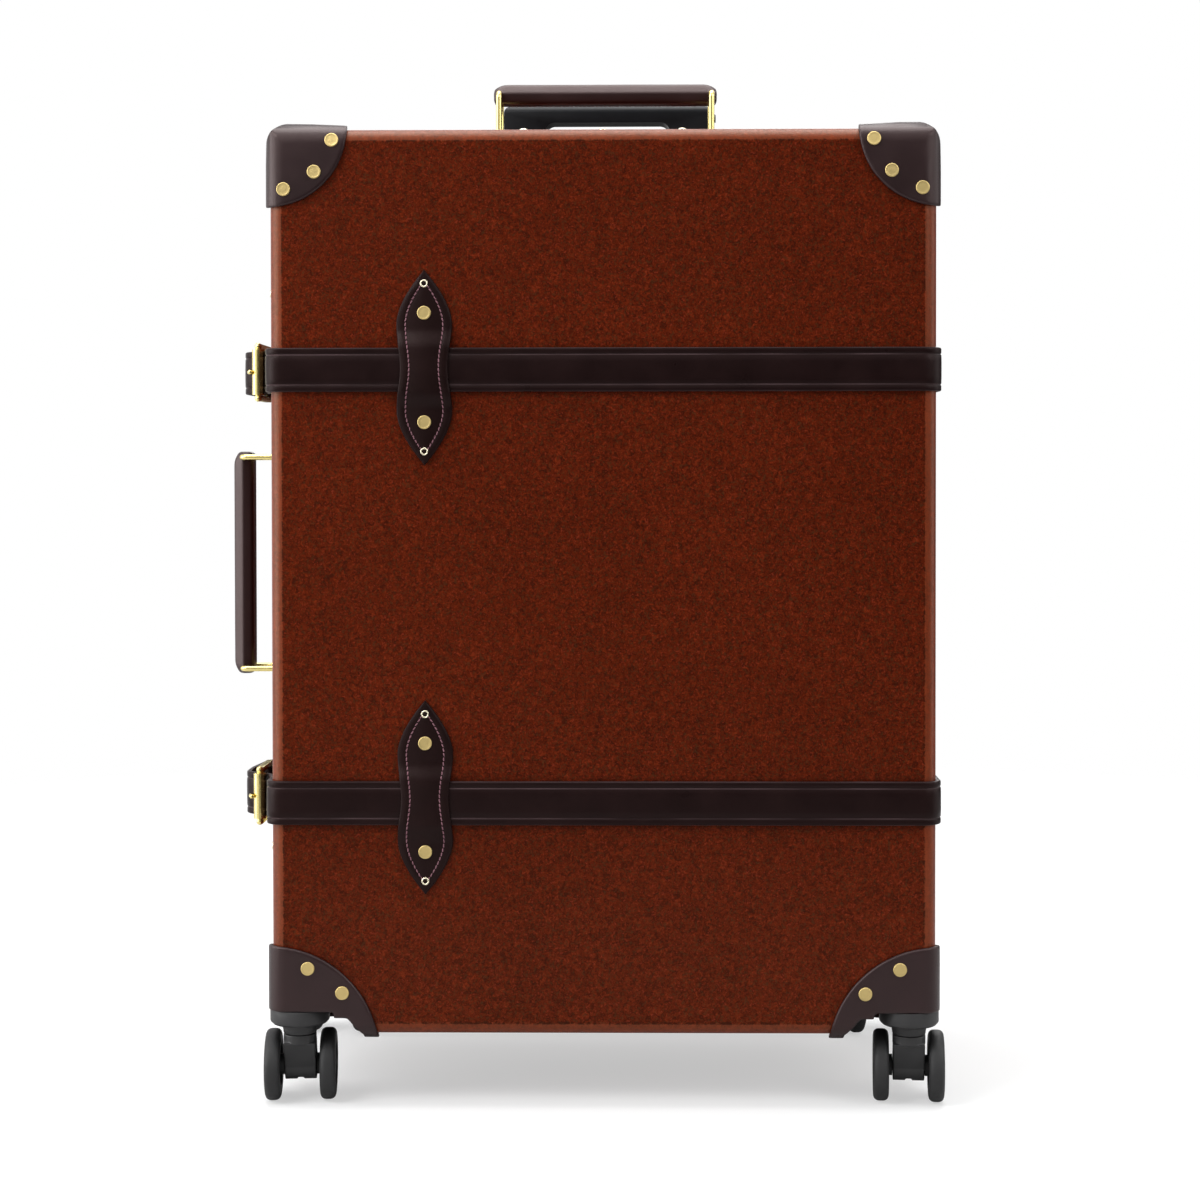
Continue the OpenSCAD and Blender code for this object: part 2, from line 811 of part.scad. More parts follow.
// The loop is open in the middle, where the prong turns, and a keeper holds the free end down
module buckle_tabs() {
    keeper_out = strap_t + strap_fit + tip_t + strap_fit;
    keeper_half = strap_w / 2 + strap_fit;
    difference() {
        raise_straps() buckle_tab_plan();
        for (z = strap_levels) translate([-case_w / 2 - bar_out, bar_y, z])
            cube([3 * loop_r, 2 * (loop_r + prong_slot_gap), prong_slot], center = true);
    }
    for (z = strap_levels) translate([-case_w / 2, front_y + keeper_in, z]) mirror([1, 0, 0]) {
        translate([keeper_out, 0, -keeper_half - keeper_t])
            cube([keeper_t, keeper_len, 2 * (keeper_half + keeper_t)]);
        for (k = [-1, 1]) translate([0, 0, k * (keeper_half + keeper_t / 2) - keeper_t / 2])
            cube([keeper_out + keeper_t, keeper_len, keeper_t]);
    }
}

// What bends with the straps: the stretch at the hinges and the buckles' tabs
module strap_bridges() {
    color(leather) {
        raise_straps() intersection() {
            strap_loop();
            plan_side(1, lid_d - bridge_half, lid_d + bridge_half);
        }
        buckle_tabs();
    }
}

// The free end's outer face, out from the wall and back from the front face
tip_back = 175;
tip_path = [
    [tip_t, strap_end_in],
    [roller_out - sleeve_r - strap_fit - 1.2, roller_in + 2.5],
    [roller_out + 11.2, roller_in + 16],
    [bar_out + loop_r + strap_fit + tip_t + 4.5, roller_in + 22],
    [bar_out + loop_r + strap_fit + tip_t + 4.5, bar_in],
    [bar_out + loop_r + strap_fit + tip_t, lid_d + 10],
    [strap_t + strap_fit + tip_t, keeper_in - 2],
    [strap_t + strap_fit + tip_t, tip_back]
];

// The point beside point i of a path, t away on its inner side
function beside(path, i, t) =
    let (a = path[max(i - 1, 0)], b = path[i], c = path[min(i + 1, len(path) - 1)])
    let (u = i > 0 ? (b - a) / norm(b - a) : (c - b) / norm(c - b))
    let (v = i < len(path) - 1 ? (c - b) / norm(c - b) : u)
    let (m = [-u[1] - v[1], u[0] + v[0]])
    b + m * t / (1 + u * v);

// The front strap's free end runs under the roller, over the pivot bar and through the keeper
module strap_tips() {
    inner = [for (i = [len(tip_path) - 1:-1:0]) beside(tip_path, i, tip_t)];
    color(leather) difference() {
        raise_straps() polygon([for (p = concat(tip_path, inner)) left_point(p[0], p[1])]);
        for (z = strap_levels) to_roller(z) rotate([0, 0, -prong_lift]) rotate([-90, 0, 0])
            translate([0, 0, buckle_len / 2]) cylinder(r = prong_r + prong_hole_gap, h = buckle_len / 2);
    }
}

// Strap patches: pointed at both ends and drawn in at the waist

function patch_half(u) = u < 0.45
    ? patch_waist / 2 + (patch_w - patch_waist) / 2 * pow(sin(200 * u), 2)
    : patch_w / 2 * (1 - pow((u - 0.45) / 0.55, 1.7));

patch_steps = 20;
patch_ramp = 7;

module patch_outline() {
    half = patch_len / 2;
    right = [for (i = [-patch_steps:patch_steps]) let (u = i / patch_steps) [patch_half(abs(u)), u * half]];
    left = [for (i = [patch_steps - 1:-1:-patch_steps + 1]) let (u = i / patch_steps)
        [-patch_half(abs(u)), u * half]];
    polygon(concat(right, left));
}

// Seen from the side, the patch lies on the shell at both ends and rises over the strap
module patch_profile(strap_at) {
    half = patch_len / 2 + 1;
    edge = strap_w / 2 + strap_fit;
    ramp = edge + patch_ramp;
    top = strap_t + patch_t;
    lo = strap_at - edge;
    hi = strap_at + edge;
    polygon([[0, -half], [patch_t, -half], [patch_t, strap_at - ramp], [top, lo], [top, hi],
        [patch_t, strap_at + ramp], [patch_t, half], [0, half],
        [0, hi], [strap_t, hi], [strap_t, lo], [0, lo]]);
}

module patches(sy) {
    color(leather) for (i = [0, 1]) on_wall(sy, -patch_x, strap_levels[i] + patch_ups[i], 0) intersection() {
        linear_extrude(far / 8) patch_outline();
        translate([-patch_w, 0, 0]) rotate([90, 0, 90]) mirror([1, -1, 0])
            linear_extrude(2 * patch_w) patch_profile(sy * patch_ups[i]);
    }
}

module front_patches() { patches(-1); }
module rear_patches() { patches(1); }

// Buckles, each drawn at its strap's height

arm_z = strap_w / 2 + arm_gap;
arm_r = bar_r + 0.3;
sleeve_end_gap = 0.3;
prong_r = 1.7;
prong_eye_h = 6;
prong_seat = 0.6;
prong_tip = 5;
prong_tip_bend = 24;
buckle_run = [bar_out - roller_out, roller_in - bar_in];
buckle_len = norm(buckle_run);
// Turn that lays the prong on the roller
prong_lift = asin((sleeve_r + prong_r + prong_seat) / buckle_len);

module at_bar(z) {
    translate([-case_w / 2 - bar_out, bar_y, z]) children();
}

module at_roller(z) {
    translate([-case_w / 2 - roller_out, front_y + roller_in, z]) children();
}

// The pivot bar's axes, turned so that y looks to the roller and x away from the wall
module to_roller(z) {
    at_bar(z) rotate([0, 0, atan2(-buckle_run[0], buckle_run[1])]) children();
}

module buckle_frame(z) {
    bar_len = 2 * arm_z + arm_t;
    color(brass) {
        at_bar(z) cylinder(r = bar_r, h = bar_len, center = true);
        at_roller(z) cylinder(r = bar_r, h = bar_len, center = true);
        for (k = [-1, 1]) translate([0, 0, k * (arm_z + arm_t / 2)]) {
            at_bar(z) cylinder(r = arm_r, h = arm_t, center = true);
            at_roller(z) cylinder(r = arm_r, h = arm_t, center = true);
            to_roller(z) translate([0, buckle_len / 2, 0])
                cube([2 * arm_r, buckle_len, arm_t], center = true);
        }
    }
}

module buckle_roller(z) {
    color(brass) at_roller(z) linear_extrude(2 * (arm_z - sleeve_end_gap), center = true) difference() {
        circle(sleeve_r);
        circle(bar_r + run_gap);
    }
}

// The prong turns on the pivot bar, passes through the free end and rests on the roller
module buckle_prong(z) {
    color(brass) difference() {
        union() {
            at_bar(z) cylinder(r = bar_r + prong_r, h = prong_eye_h, center = true);
            to_roller(z) rotate([0, 0, -prong_lift]) {
                rotate([-90, 0, 0]) cylinder(r = prong_r, h = buckle_len);
                translate([0, buckle_len, 0]) sphere(prong_r);
                translate([0, buckle_len, 0]) rotate([0, 0, prong_tip_bend]) {
                    rotate([-90, 0, 0]) cylinder(r = prong_r, h = prong_tip);
                    translate([0, prong_tip, 0]) sphere(prong_r);
                }
            }
        }
        at_bar(z) cylinder(r = bar_r + run_gap, h = 2 * prong_eye_h, center = true);
    }
}

module buckle_frame_upper() { buckle_frame(strap_high_z); }
module buckle_frame_lower() { buckle_frame(strap_low_z); }
module buckle_roller_upper() { buckle_roller(strap_high_z); }
module buckle_roller_lower() { buckle_roller(strap_low_z); }
module buckle_prong_upper() { buckle_prong(strap_high_z); }
module buckle_prong_lower() { buckle_prong(strap_low_z); }

// Hinges on the right wall: two knuckles on the base, one between them on the lid

knuckle = hinge_len / 3;
knuckle_gap = 0.3;

module at_hinge(z) {
    translate([case_w / 2, seam_y, z]) children();
}

// side is -1 on the lid and 1 on the base; each span is a knuckle's low end and length
module hinge_leaf(side, spans) {
    difference() {
        union() {
            translate([0, side > 0 ? barrel_r : -barrel_r - leaf_w, -hinge_len / 2])
                cube([leaf_t, leaf_w, hinge_len]);
            for (s = spans) translate([0, 0, s[0]]) {
                linear_extrude(s[1]) polygon([[0, side * barrel_r], [0, side * (barrel_r + 4)],
                    [leaf_t, side * (barrel_r + 4)], [hinge_out + barrel_r * 0.5, side * barrel_r * 0.7],
                    [hinge_out - barrel_r * 0.5, side * barrel_r * 0.2]]);
                translate([hinge_out, 0, 0]) cylinder(r = barrel_r, h = s[1]);
            }
        }
        translate([hinge_out, 0, -hinge_len]) cylinder(r = pin_r + run_gap, h = 2 * hinge_len);
    }
}

module hinge_rear_leaves() {
    color(brass) for (z = hinge_levels) at_hinge(z) hinge_leaf(1,
        [[-hinge_len / 2, knuckle - knuckle_gap], [knuckle / 2 + knuckle_gap, knuckle - knuckle_gap]]);
}

module hinge_front_leaves() {
    color(brass) for (z = hinge_levels) at_hinge(z) hinge_leaf(-1, [[-knuckle / 2, knuckle]]);
}

module hinge_pins() {
    color(brass) for (z = hinge_levels) at_hinge(z) translate([hinge_out, 0, -hinge_len / 2]) {
        cylinder(r = pin_r, h = hinge_len);
        translate([0, 0, -1]) cylinder(r = barrel_r * 0.8, h = 1);
    }
}

// Locks on the left wall, drawn with x out from the wall and y back from the seam

module at_lock(z) {
    translate([-case_w / 2, seam_y, z]) mirror([1, 0, 0]) children();
}

lock_gap = 0.3;
lock_len = 36;
lock_plate_len = 26;
lock_plate_t = 1.5;
hasp_axis_y = -22;
hasp_axis_out = lock_t + hasp_t / 2 + lock_gap;
hasp_tip_y = 20;
hasp_pin_r = 1.2;
hasp_eye_r = 2.4;
ear_t = 3;
ear_r = 2.5;
stud_y = 14;
stud_r = 3;
stud_h = 2.6;
stud_gap = 0.4;
press_slot_y = 25;
press_len = 7;
press_sink = 2.2;
press_h = 4;

module lock_case(z) {
    at_lock(z) difference() {
        translate([0, 2, -lock_w / 2]) cube([lock_t, lock_len, lock_w]);
        // The slot is open to the front, so that the stud leaves it with the lid
        translate([lock_t - stud_h - stud_gap, -far / 8 + stud_y + stud_r + 1, -stud_r - stud_gap])
            cube([far, far / 8, 2 * (stud_r + stud_gap)]);
        translate([lock_t - press_sink - lock_gap, press_slot_y, -hasp_w / 2 - lock_gap])
            cube([far, press_len, hasp_w + 2 * lock_gap]);
    }
}

module lock_cases() {
    color(brass) for (z = lock_levels) lock_case(z);
}

// The lid's plate carries the hasp on two ears and a pin
module lock_plates() {
    color(brass) for (z = lock_levels) at_lock(z) {
        translate([0, -lock_plate_len - 2, -lock_w / 2]) cube([lock_plate_t, lock_plate_len, lock_w]);
        for (k = [-1, 1]) translate([0, hasp_axis_y, k * (hasp_w / 2 + lock_gap + ear_t / 2)]) {
            translate([hasp_axis_out / 2, 0, 0]) cube([hasp_axis_out, 2 * ear_r, ear_t], center = true);
            translate([hasp_axis_out, 0, 0]) cylinder(r = ear_r, h = ear_t, center = true);
        }
        translate([hasp_axis_out, hasp_axis_y, 0])
            cylinder(r = hasp_pin_r, h = hasp_w + 2 * lock_gap + ear_t, center = true);
    }
}

module hasp(z) {
    color(brass) at_lock(z) difference() {
        union() {
            translate([hasp_axis_out, hasp_axis_y, -hasp_w / 2]) cylinder(r = hasp_eye_r, h = hasp_w);
            translate([hasp_axis_out - hasp_t / 2, hasp_axis_y, -hasp_w / 2])
                cube([hasp_t, hasp_tip_y - hasp_axis_y, hasp_w]);
            translate([hasp_axis_out - hasp_t / 2 - stud_h, stud_y, 0]) rotate([0, 90, 0])
                cylinder(r = stud_r, h = stud_h + 1);
        }
        translate([hasp_axis_out, hasp_axis_y, -hasp_w]) cylinder(r = hasp_pin_r + run_gap, h = 2 * hasp_w);
    }
}

module lock_button(z) {
    color(brass) at_lock(z) translate([lock_t - press_sink, press_slot_y + lock_gap, -hasp_w / 2])
        cube([press_h, press_len - 2 * lock_gap, hasp_w - lock_travel]);
}

module hasp_upper() { hasp(lock_high_z); }
module hasp_lower() { hasp(lock_low_z); }
module lock_button_upper() { lock_button(lock_high_z); }
module lock_button_lower() { lock_button(lock_low_z); }

module caster_fork_front_left() { caster_fork(-1, -1); }
module caster_fork_front_right() { caster_fork(1, -1); }
module caster_fork_rear_left() { caster_fork(-1, 1); }
module caster_fork_rear_right() { caster_fork(1, 1); }

placed() rear_shell();
placed() rear_frame();
placed() rear_lining();
placed() rear_corner_caps();
placed() rear_rivets();
placed() rear_wheel_bays();
placed() rear_caster_cups();
placed() trolley_bezel();
placed() trolley_outer_tubes();
placed() trolley_foot();
placed() top_handle_grip();
placed() top_handle_loops();
placed() side_handle_grip();
placed() side_handle_loops();
placed() handle_plates();
placed() rear_straps();
placed() strap_tips();
placed() strap_bridges();
placed() rear_patches();
placed() hinge_rear_leaves();
placed() hinge_pins();
placed() lock_cases();
placed() front_shell();
placed() front_frame();
placed() front_lining();
placed() front_corner_caps();
placed() front_rivets();
placed() front_wheel_bays();
placed() front_caster_cups();
placed() front_straps();
placed() front_patches();
placed() small_screws();
placed() hinge_front_leaves();
placed() lock_plates();
placed() hasp_upper();
placed() hasp_lower();
placed() lock_button_upper();
placed() lock_button_lower();
placed() buckle_frame_upper();
placed() buckle_frame_lower();
placed() buckle_roller_upper();
placed() buckle_roller_lower();
placed() buckle_prong_upper();
placed() buckle_prong_lower();
placed() trolley_middle_tubes();
placed() trolley_inner_tubes();
placed() trolley_grip();
placed() trolley_button();
placed() caster_fork_front_left();
placed() caster_fork_front_right();
placed() caster_fork_rear_left();
placed() caster_fork_rear_right();
placed() wheel_at(-1, -1, -1);  // wheel_front_left_outer
placed() wheel_at(-1, -1, 1);  // wheel_front_left_inner
placed() wheel_at(1, -1, -1);  // wheel_front_right_inner
placed() wheel_at(1, -1, 1);  // wheel_front_right_outer
placed() wheel_at(-1, 1, 1);  // wheel_rear_left_outer
placed() wheel_at(-1, 1, -1);  // wheel_rear_left_inner
placed() wheel_at(1, 1, 1);  // wheel_rear_right_inner
placed() wheel_at(1, 1, -1);  // wheel_rear_right_outer
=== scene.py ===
"""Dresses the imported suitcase: board, leather, brass, fabric and plastic in place of the plain solids."""
import json
import math

import bmesh
import bpy
from mathutils import Matrix, Vector, noise

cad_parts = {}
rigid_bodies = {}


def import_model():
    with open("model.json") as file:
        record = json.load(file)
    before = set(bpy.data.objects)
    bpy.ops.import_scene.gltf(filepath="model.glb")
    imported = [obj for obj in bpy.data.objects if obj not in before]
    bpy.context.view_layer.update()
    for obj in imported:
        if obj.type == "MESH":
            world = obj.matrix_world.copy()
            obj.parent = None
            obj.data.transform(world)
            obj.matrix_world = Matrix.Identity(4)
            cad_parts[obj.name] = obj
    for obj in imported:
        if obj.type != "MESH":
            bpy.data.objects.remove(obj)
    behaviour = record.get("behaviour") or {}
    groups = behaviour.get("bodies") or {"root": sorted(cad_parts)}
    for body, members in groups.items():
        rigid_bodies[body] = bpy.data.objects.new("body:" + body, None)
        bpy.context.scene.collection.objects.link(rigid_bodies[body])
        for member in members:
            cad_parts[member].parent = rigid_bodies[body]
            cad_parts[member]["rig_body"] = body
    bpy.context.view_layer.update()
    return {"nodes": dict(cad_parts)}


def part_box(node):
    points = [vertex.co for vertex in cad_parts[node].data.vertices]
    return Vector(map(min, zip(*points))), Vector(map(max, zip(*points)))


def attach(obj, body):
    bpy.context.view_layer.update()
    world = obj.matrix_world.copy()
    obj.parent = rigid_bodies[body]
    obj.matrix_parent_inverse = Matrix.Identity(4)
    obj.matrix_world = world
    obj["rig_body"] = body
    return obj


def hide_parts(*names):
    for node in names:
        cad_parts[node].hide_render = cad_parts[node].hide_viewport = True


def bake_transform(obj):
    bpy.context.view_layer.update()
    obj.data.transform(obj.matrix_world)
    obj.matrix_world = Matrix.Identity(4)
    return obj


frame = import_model()
nodes = frame["nodes"]
scene = bpy.context.scene
scene.view_settings.view_transform = "Standard"

MM = 0.001
shell_lo, shell_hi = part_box("front_shell")
rear_lo, rear_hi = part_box("rear_shell")
# The case's middle line in metres, then its faces in millimetres
SX = (shell_lo.x + shell_hi.x) / 2
W = (shell_hi.x - shell_lo.x) / MM
BOTTOM = shell_lo.z / MM
TOP = shell_hi.z / MM
FRONT = shell_lo.y / MM
BACK = rear_hi.y / MM
SEAM = (shell_hi.y + rear_lo.y) / 2 / MM


def middle(node):
    """The middle of a node's box, in millimetres from the case's middle line."""
    lo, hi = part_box(node)
    m = (lo + hi) / 2
    return Vector(((m.x - SX) / MM, m.y / MM, m.z / MM))


def place(x, y, z):
    """A point in millimetres from the case's middle, in the frame's metres."""
    return Vector((x * MM + SX, y * MM, z * MM))


def left(out, back):
    """A point in plan beside the left wall, which carries the buckles."""
    return (-W / 2 - out, FRONT + back)


# Sizes in millimetres. T is a thickness, R a radius and W a width.
EDGE_R = 11.0
CAP_T = 3.5
OUT = EDGE_R + CAP_T
CAP_RIVETS = [(48.2, 9.4), (34.9, 33.1), (11.9, 46.1)]
LOW_CAP_RIVETS = [(28.2, 51.4), (54.2, 33)]

STRAPS = {level: middle("buckle_roller_" + level).z for level in ("upper", "lower")}
LOCKS = {level: middle("hasp_" + level).z for level in ("upper", "lower")}
STRAP_W, STRAP_T, TIP_T = 33.0, 4.0, 3.5
CREASE_IN, CREASE_DEPTH = 5.0, 0.55
# Leather is never quite flat: the height of its waves
WAVE = 0.12

PATCH_X, PATCH_LEN, PATCH_W, PATCH_WAIST, PATCH_T = -134.0, 146.5, 42.0, 36.0, 2.5
PATCH_UP = {"upper": 1.6, "lower": 4.2}
RIVET_AT = 0.56 * PATCH_LEN / 2
SCREW_AT = 0.86 * PATCH_LEN / 2
SEAM_IN = 6.9

# The pivot bar that the base's strap loops round, and what lies behind it on the left wall
ARM_R, LOOP_R, LOOP_T = 2.4, 5.8, 3.4
ROLLER = middle("buckle_roller_upper")
BAR_OUT = -W / 2 - ROLLER.x
BAR_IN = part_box("buckle_frame_upper")[1].y / MM - ARM_R - FRONT
BAR = left(BAR_OUT, BAR_IN)
LIFT_IN, KEEPER_IN, KEEPER_LEN, TIP_BACK = 128.0, 152.0, 10.0, 175.0
HINGE_GAP = 22.0
LID_END, BASE_END = SEAM - HINGE_GAP, SEAM + HINGE_GAP

GRIP_LEN, GRIP_W, GRIP_T, GRIP_END = 180.0, 22.0, 16.0, 11.0

CASTER_IN, WHEEL_R, WHEEL_OUT, WHEEL_BACK = 18.9, 27.0, 21.0, 12.0
TOE_IN = 5


# Materials

class Tree:
    """The node tree of a material or world, with short calls for the nodes used here."""

    def __init__(self, owner, output="OutputMaterial"):
        owner.use_nodes = True
        self.owner = owner
        self.nt = owner.node_tree
        self.nt.nodes.clear()
        self.out = self.node(output)
        self.coord = self.node("TexCoord")

    def node(self, kind, **fields):
        n = self.nt.nodes.new("ShaderNode" + kind)
        for key, value in fields.items():
            setattr(n, key, value)
        return n

    def put(self, value, socket):
        """Links a node's output to a socket, or sets a plain number or colour on it."""
        if hasattr(value, "links"):
            self.nt.links.new(value, socket)
        elif isinstance(value, tuple):
            socket.default_value = (*value, 1)
        else:
            socket.default_value = value

    def stretched(self, scale):
        """Object coordinates, scaled along each axis."""
        n = self.node("Mapping")
        n.inputs["Scale"].default_value = scale
        self.put(self.coord.outputs["Object"], n.inputs["Vector"])
        return n.outputs["Vector"]

    def noise(self, scale, detail=2.0, rough=0.5, distortion=0.0, vector=None):
        n = self.node("TexNoise")
        for key, value in (("Scale", scale), ("Detail", detail), ("Roughness", rough),
                           ("Distortion", distortion)):
            n.inputs[key].default_value = value
        self.put(vector or self.coord.outputs["Object"], n.inputs["Vector"])
        return n.outputs["Fac"]

    def cells(self, scale):
        """The distance to the border of irregular cells."""
        n = self.node("TexVoronoi", feature="DISTANCE_TO_EDGE")
        n.inputs["Scale"].default_value = scale
        self.put(self.coord.outputs["Object"], n.inputs["Vector"])
        return n.outputs["Distance"]

    def bands(self, direction, scale):
        n = self.node("TexWave", wave_type="BANDS", bands_direction=direction)
        for key, value in (("Scale", scale), ("Distortion", 1.2), ("Detail", 1.0)):
            n.inputs[key].default_value = value
        self.put(self.coord.outputs["Object"], n.inputs["Vector"])
        return n.outputs["Fac"]

    def ramp(self, fac, stops):
        n = self.node("ValToRGB")
        e = n.color_ramp.elements
        while len(e) < len(stops):
            e.new(0.5)
        for i, (position, colour) in enumerate(stops):
            e[i].position = position
            e[i].color = (*colour, 1)
        self.put(fac, n.inputs["Fac"])
        return n.outputs["Color"]

    def span(self, fac, a, b, lo, hi, **fields):
        """Turns the range a to b into lo to hi, and holds it at both ends."""
        n = self.node("MapRange", **fields)
        for key, value in (("From Min", a), ("From Max", b), ("To Min", lo), ("To Max", hi), ("Value", fac)):
            self.put(value, n.inputs[key])
        return n.outputs["Result"]

    def math(self, op, a, b=0.0):
        n = self.node("Math", operation=op)
        self.put(a, n.inputs[0])
        self.put(b, n.inputs[1])
        return n.outputs[0]

    def split(self, vector):
        n = self.node("SeparateXYZ")
        self.put(vector, n.inputs[0])
        return n.outputs

    def mix(self, fac, a, b, blend="MIX"):
        n = self.node("Mix", data_type="RGBA", blend_type=blend)
        for i, value in ((0, fac), (6, a), (7, b)):
            self.put(value, n.inputs[i])
        return n.outputs[2]

    def mix_shaders(self, fac, a, b):
        n = self.node("MixShader")
        for i, value in enumerate((fac, a, b)):
            self.put(value, n.inputs[i])
        return n.outputs[0]

    def rounded_edge(self):
        """1 where the case's rounded edges turn away from its flat faces, 0 on the faces."""
        x, y, z = [self.math("ABSOLUTE", part) for part in self.split(self.coord.outputs["Normal"])]
        flat = self.math("MAXIMUM", self.math("MAXIMUM", x, y), z)
        return self.span(flat, 0.9995, 0.975, 0.0, 1.0)

    def bump(self, height, strength, distance, under=None):
        n = self.node("Bump")
        n.inputs["Strength"].default_value = strength
        n.inputs["Distance"].default_value = distance
        self.put(height, n.inputs["Height"])
        if under is not None:
            self.put(under, n.inputs["Normal"])
        return n.outputs["Normal"]

    def shader(self, colour, rough, normal, **values):
        n = self.node("BsdfPrincipled")
        self.put(colour, n.inputs["Base Color"])
        self.put(rough, n.inputs["Roughness"])
        if normal is not None:
            self.put(normal, n.inputs["Normal"])
        for key, value in values.items():
            self.put(value, n.inputs[key.replace("_", " ")])
        self.put(n.outputs["BSDF"], self.out.inputs["Surface"])
        return self.owner


def material(name, colour):
    mat = bpy.data.materials.new(name)
    mat.diffuse_color = (*colour, 1)
    return Tree(mat)


def board_material():
    t = material("fibreboard", (0.10, 0.012, 0.004))
    # Worm-like flecks a few millimetres long, over finer grain
    flecks = t.noise(300, 2.0, 0.6, 1.2)
    fine = t.noise(820, 2.0, 0.6, 0.4)
    specks = t.noise(640, 1.0, 0.5, 0.3)
    broad = t.noise(6, 2.0, 0.5)
    base = t.ramp(flecks, [(0.34, (0.044, 0.0050, 0.0012)), (0.46, (0.076, 0.0080, 0.0018)),
                           (0.57, (0.100, 0.0108, 0.0024)), (0.70, (0.146, 0.0180, 0.0046))])
    tone = t.ramp(fine, [(0.3, (0.70, 0.72, 0.74)), (0.7, (1.28, 1.26, 1.24))])
    base = t.mix(1.0, base, tone, "MULTIPLY")
    base = t.mix(t.span(specks, 0.44, 0.32, 0.0, 0.6), base, (0.060, 0.0220, 0.0080))
    base = t.mix(t.span(specks, 0.62, 0.76, 0.0, 0.5), base, (0.24, 0.034, 0.016))
    wide = t.ramp(broad, [(0.3, (0.90, 0.89, 0.87)), (0.7, (1.06, 1.07, 1.08))])
    base = t.mix(1.0, base, wide, "MULTIPLY")
    # The bent edges are paler, partly where the wax has worn thin and partly a painted highlight, with a
    # ragged border
    worn = t.rounded_edge()
    ragged = t.noise(300, 3.0, 0.65, 0.8)
    uneven = t.math("ADD", t.math("MULTIPLY", worn, 0.9), t.math("MULTIPLY", ragged, 0.8))
    rubbed_and_painted_highlight = t.span(uneven, 0.58, 1.02, 0.0, 1.0)
    streaks = t.span(t.noise(260, 3.0, 0.6, 0.0, t.stretched((1, 1, 0.07))), 0.36, 0.66, 0.30, 0.56)
    # Paler colour on every rounded edge: wear of the wax and a painted highlight
    base = t.mix(t.math("MULTIPLY", rubbed_and_painted_highlight, streaks), base, (0.26, 0.044, 0.012))
    border = t.math("MULTIPLY", t.span(worn, 0.0, 0.2, 0.0, 1.0), t.span(worn, 1.0, 0.5, 0.10, 1.0))
    border = t.math("MULTIPLY", border, t.span(ragged, 0.54, 0.42, 0.0, 0.8))
    base = t.mix(border, base, (0.036, 0.0065, 0.0022))
    peel = t.noise(260, 2.0, 0.5, 0.6)
    pores = t.noise(900, 2.0, 0.5)
    normal = t.bump(pores, 0.2, 0.0002, t.bump(peel, 0.32, 0.0006))
    rough = t.span(flecks, 0.3, 0.7, 0.40, 0.28)
    shine = t.span(rubbed_and_painted_highlight, 0.0, 1.0, 0.09, 0.29)
    return t.shader(base, rough, normal, Specular_IOR_Level=shine, Specular_Tint=(1.0, 0.88, 0.62))


def strap_creases(t, colour):
    """A pale crease beside each edge of a strap, and a slightly paler cut edge."""
    z = t.split(t.coord.outputs["Object"])[2]
    away = [t.math("ABSOLUTE", t.math("SUBTRACT", z, level * MM)) for level in STRAPS.values()]
    away = t.math("MINIMUM", *away)
    crease = t.math("ABSOLUTE", t.math("SUBTRACT", away, (STRAP_W / 2 - CREASE_IN - 0.2) * MM))
    crease = t.span(crease, 0.0002, 0.0007, 1.0, 0.0)
    rim = t.span(away, (STRAP_W / 2 - 0.9) * MM, (STRAP_W / 2 - 0.3) * MM, 0.0, 0.45)
    strength = t.span(t.noise(16, 2.0, 0.5), 0.34, 0.68, 0.04, 0.30)
    return t.mix(t.math("MULTIPLY", t.math("MAXIMUM", crease, rim), strength), colour, (0.26, 0.17, 0.18))


def leather_material(name, dark, light, rough, grain, gloss, creases=False):
    t = material(name, dark)
    cloudy = t.noise(28, 3.0, 0.6)
    cells = t.cells(1500)
    fold = t.noise(420, 3.0, 0.6, 0.5)
    colour = t.ramp(cloudy, [(0.3, dark), (0.72, light)])
    pore = t.ramp(cells, [(0.0, (0.75, 0.75, 0.75)), (0.12, (1, 1, 1))])
    colour = t.mix(1.0, colour, pore, "MULTIPLY")
    height = t.math("ADD", t.span(cells, 0.0, 0.12, 0.0, 1.0), t.math("MULTIPLY", fold, 1.6))
    normal = t.bump(height, 0.16 * grain, 0.00035)
    if creases:
        colour = strap_creases(t, colour)
    uneven = t.span(cloudy, 0.3, 0.7, rough - 0.05, rough + 0.07)
    return t.shader(colour, uneven, normal, Specular_IOR_Level=gloss, Specular_Tint=(1.0, 0.80, 0.78))


def metal_material(name, colour, rough, brushed=0.0, pitted=0.0):
    t = material(name, colour)
    tarnish = t.span(t.noise(60, 3.0, 0.6), 0.3, 0.7, 0.0, 0.35)
    uneven = t.mix(tarnish, colour, tuple(0.82 * v for v in colour))
    smears = t.span(t.noise(240, 3.0, 0.65), 0.3, 0.7, rough - 0.05, rough + 0.06)
    normal = None
    if brushed:
        normal = t.bump(t.noise(300, 2.0, 0.5, 0.0, t.stretched((1, 1, 0.01))), brushed, 0.0002)
    elif pitted:
        normal = t.bump(t.noise(1400, 2.0, 0.6), pitted, 0.0002)
    return t.shader(uneven, smears, normal, Metallic=1.0)


def plastic_material(name, colour, rough, grain, gloss=0.35):
    t = material(name, colour)
    cloudy = t.span(t.noise(45, 2.0, 0.5), 0.3, 0.7, 0.0, 1.0)
    uneven = t.mix(cloudy, colour, tuple(1.35 * v for v in colour))
    normal = t.bump(t.noise(1600, 2.0, 0.6), grain, 0.00025)
    smears = t.span(t.noise(300, 2.0, 0.5), 0.3, 0.7, rough - 0.05, rough + 0.06)
    return t.shader(uneven, smears, normal, Specular_IOR_Level=gloss)


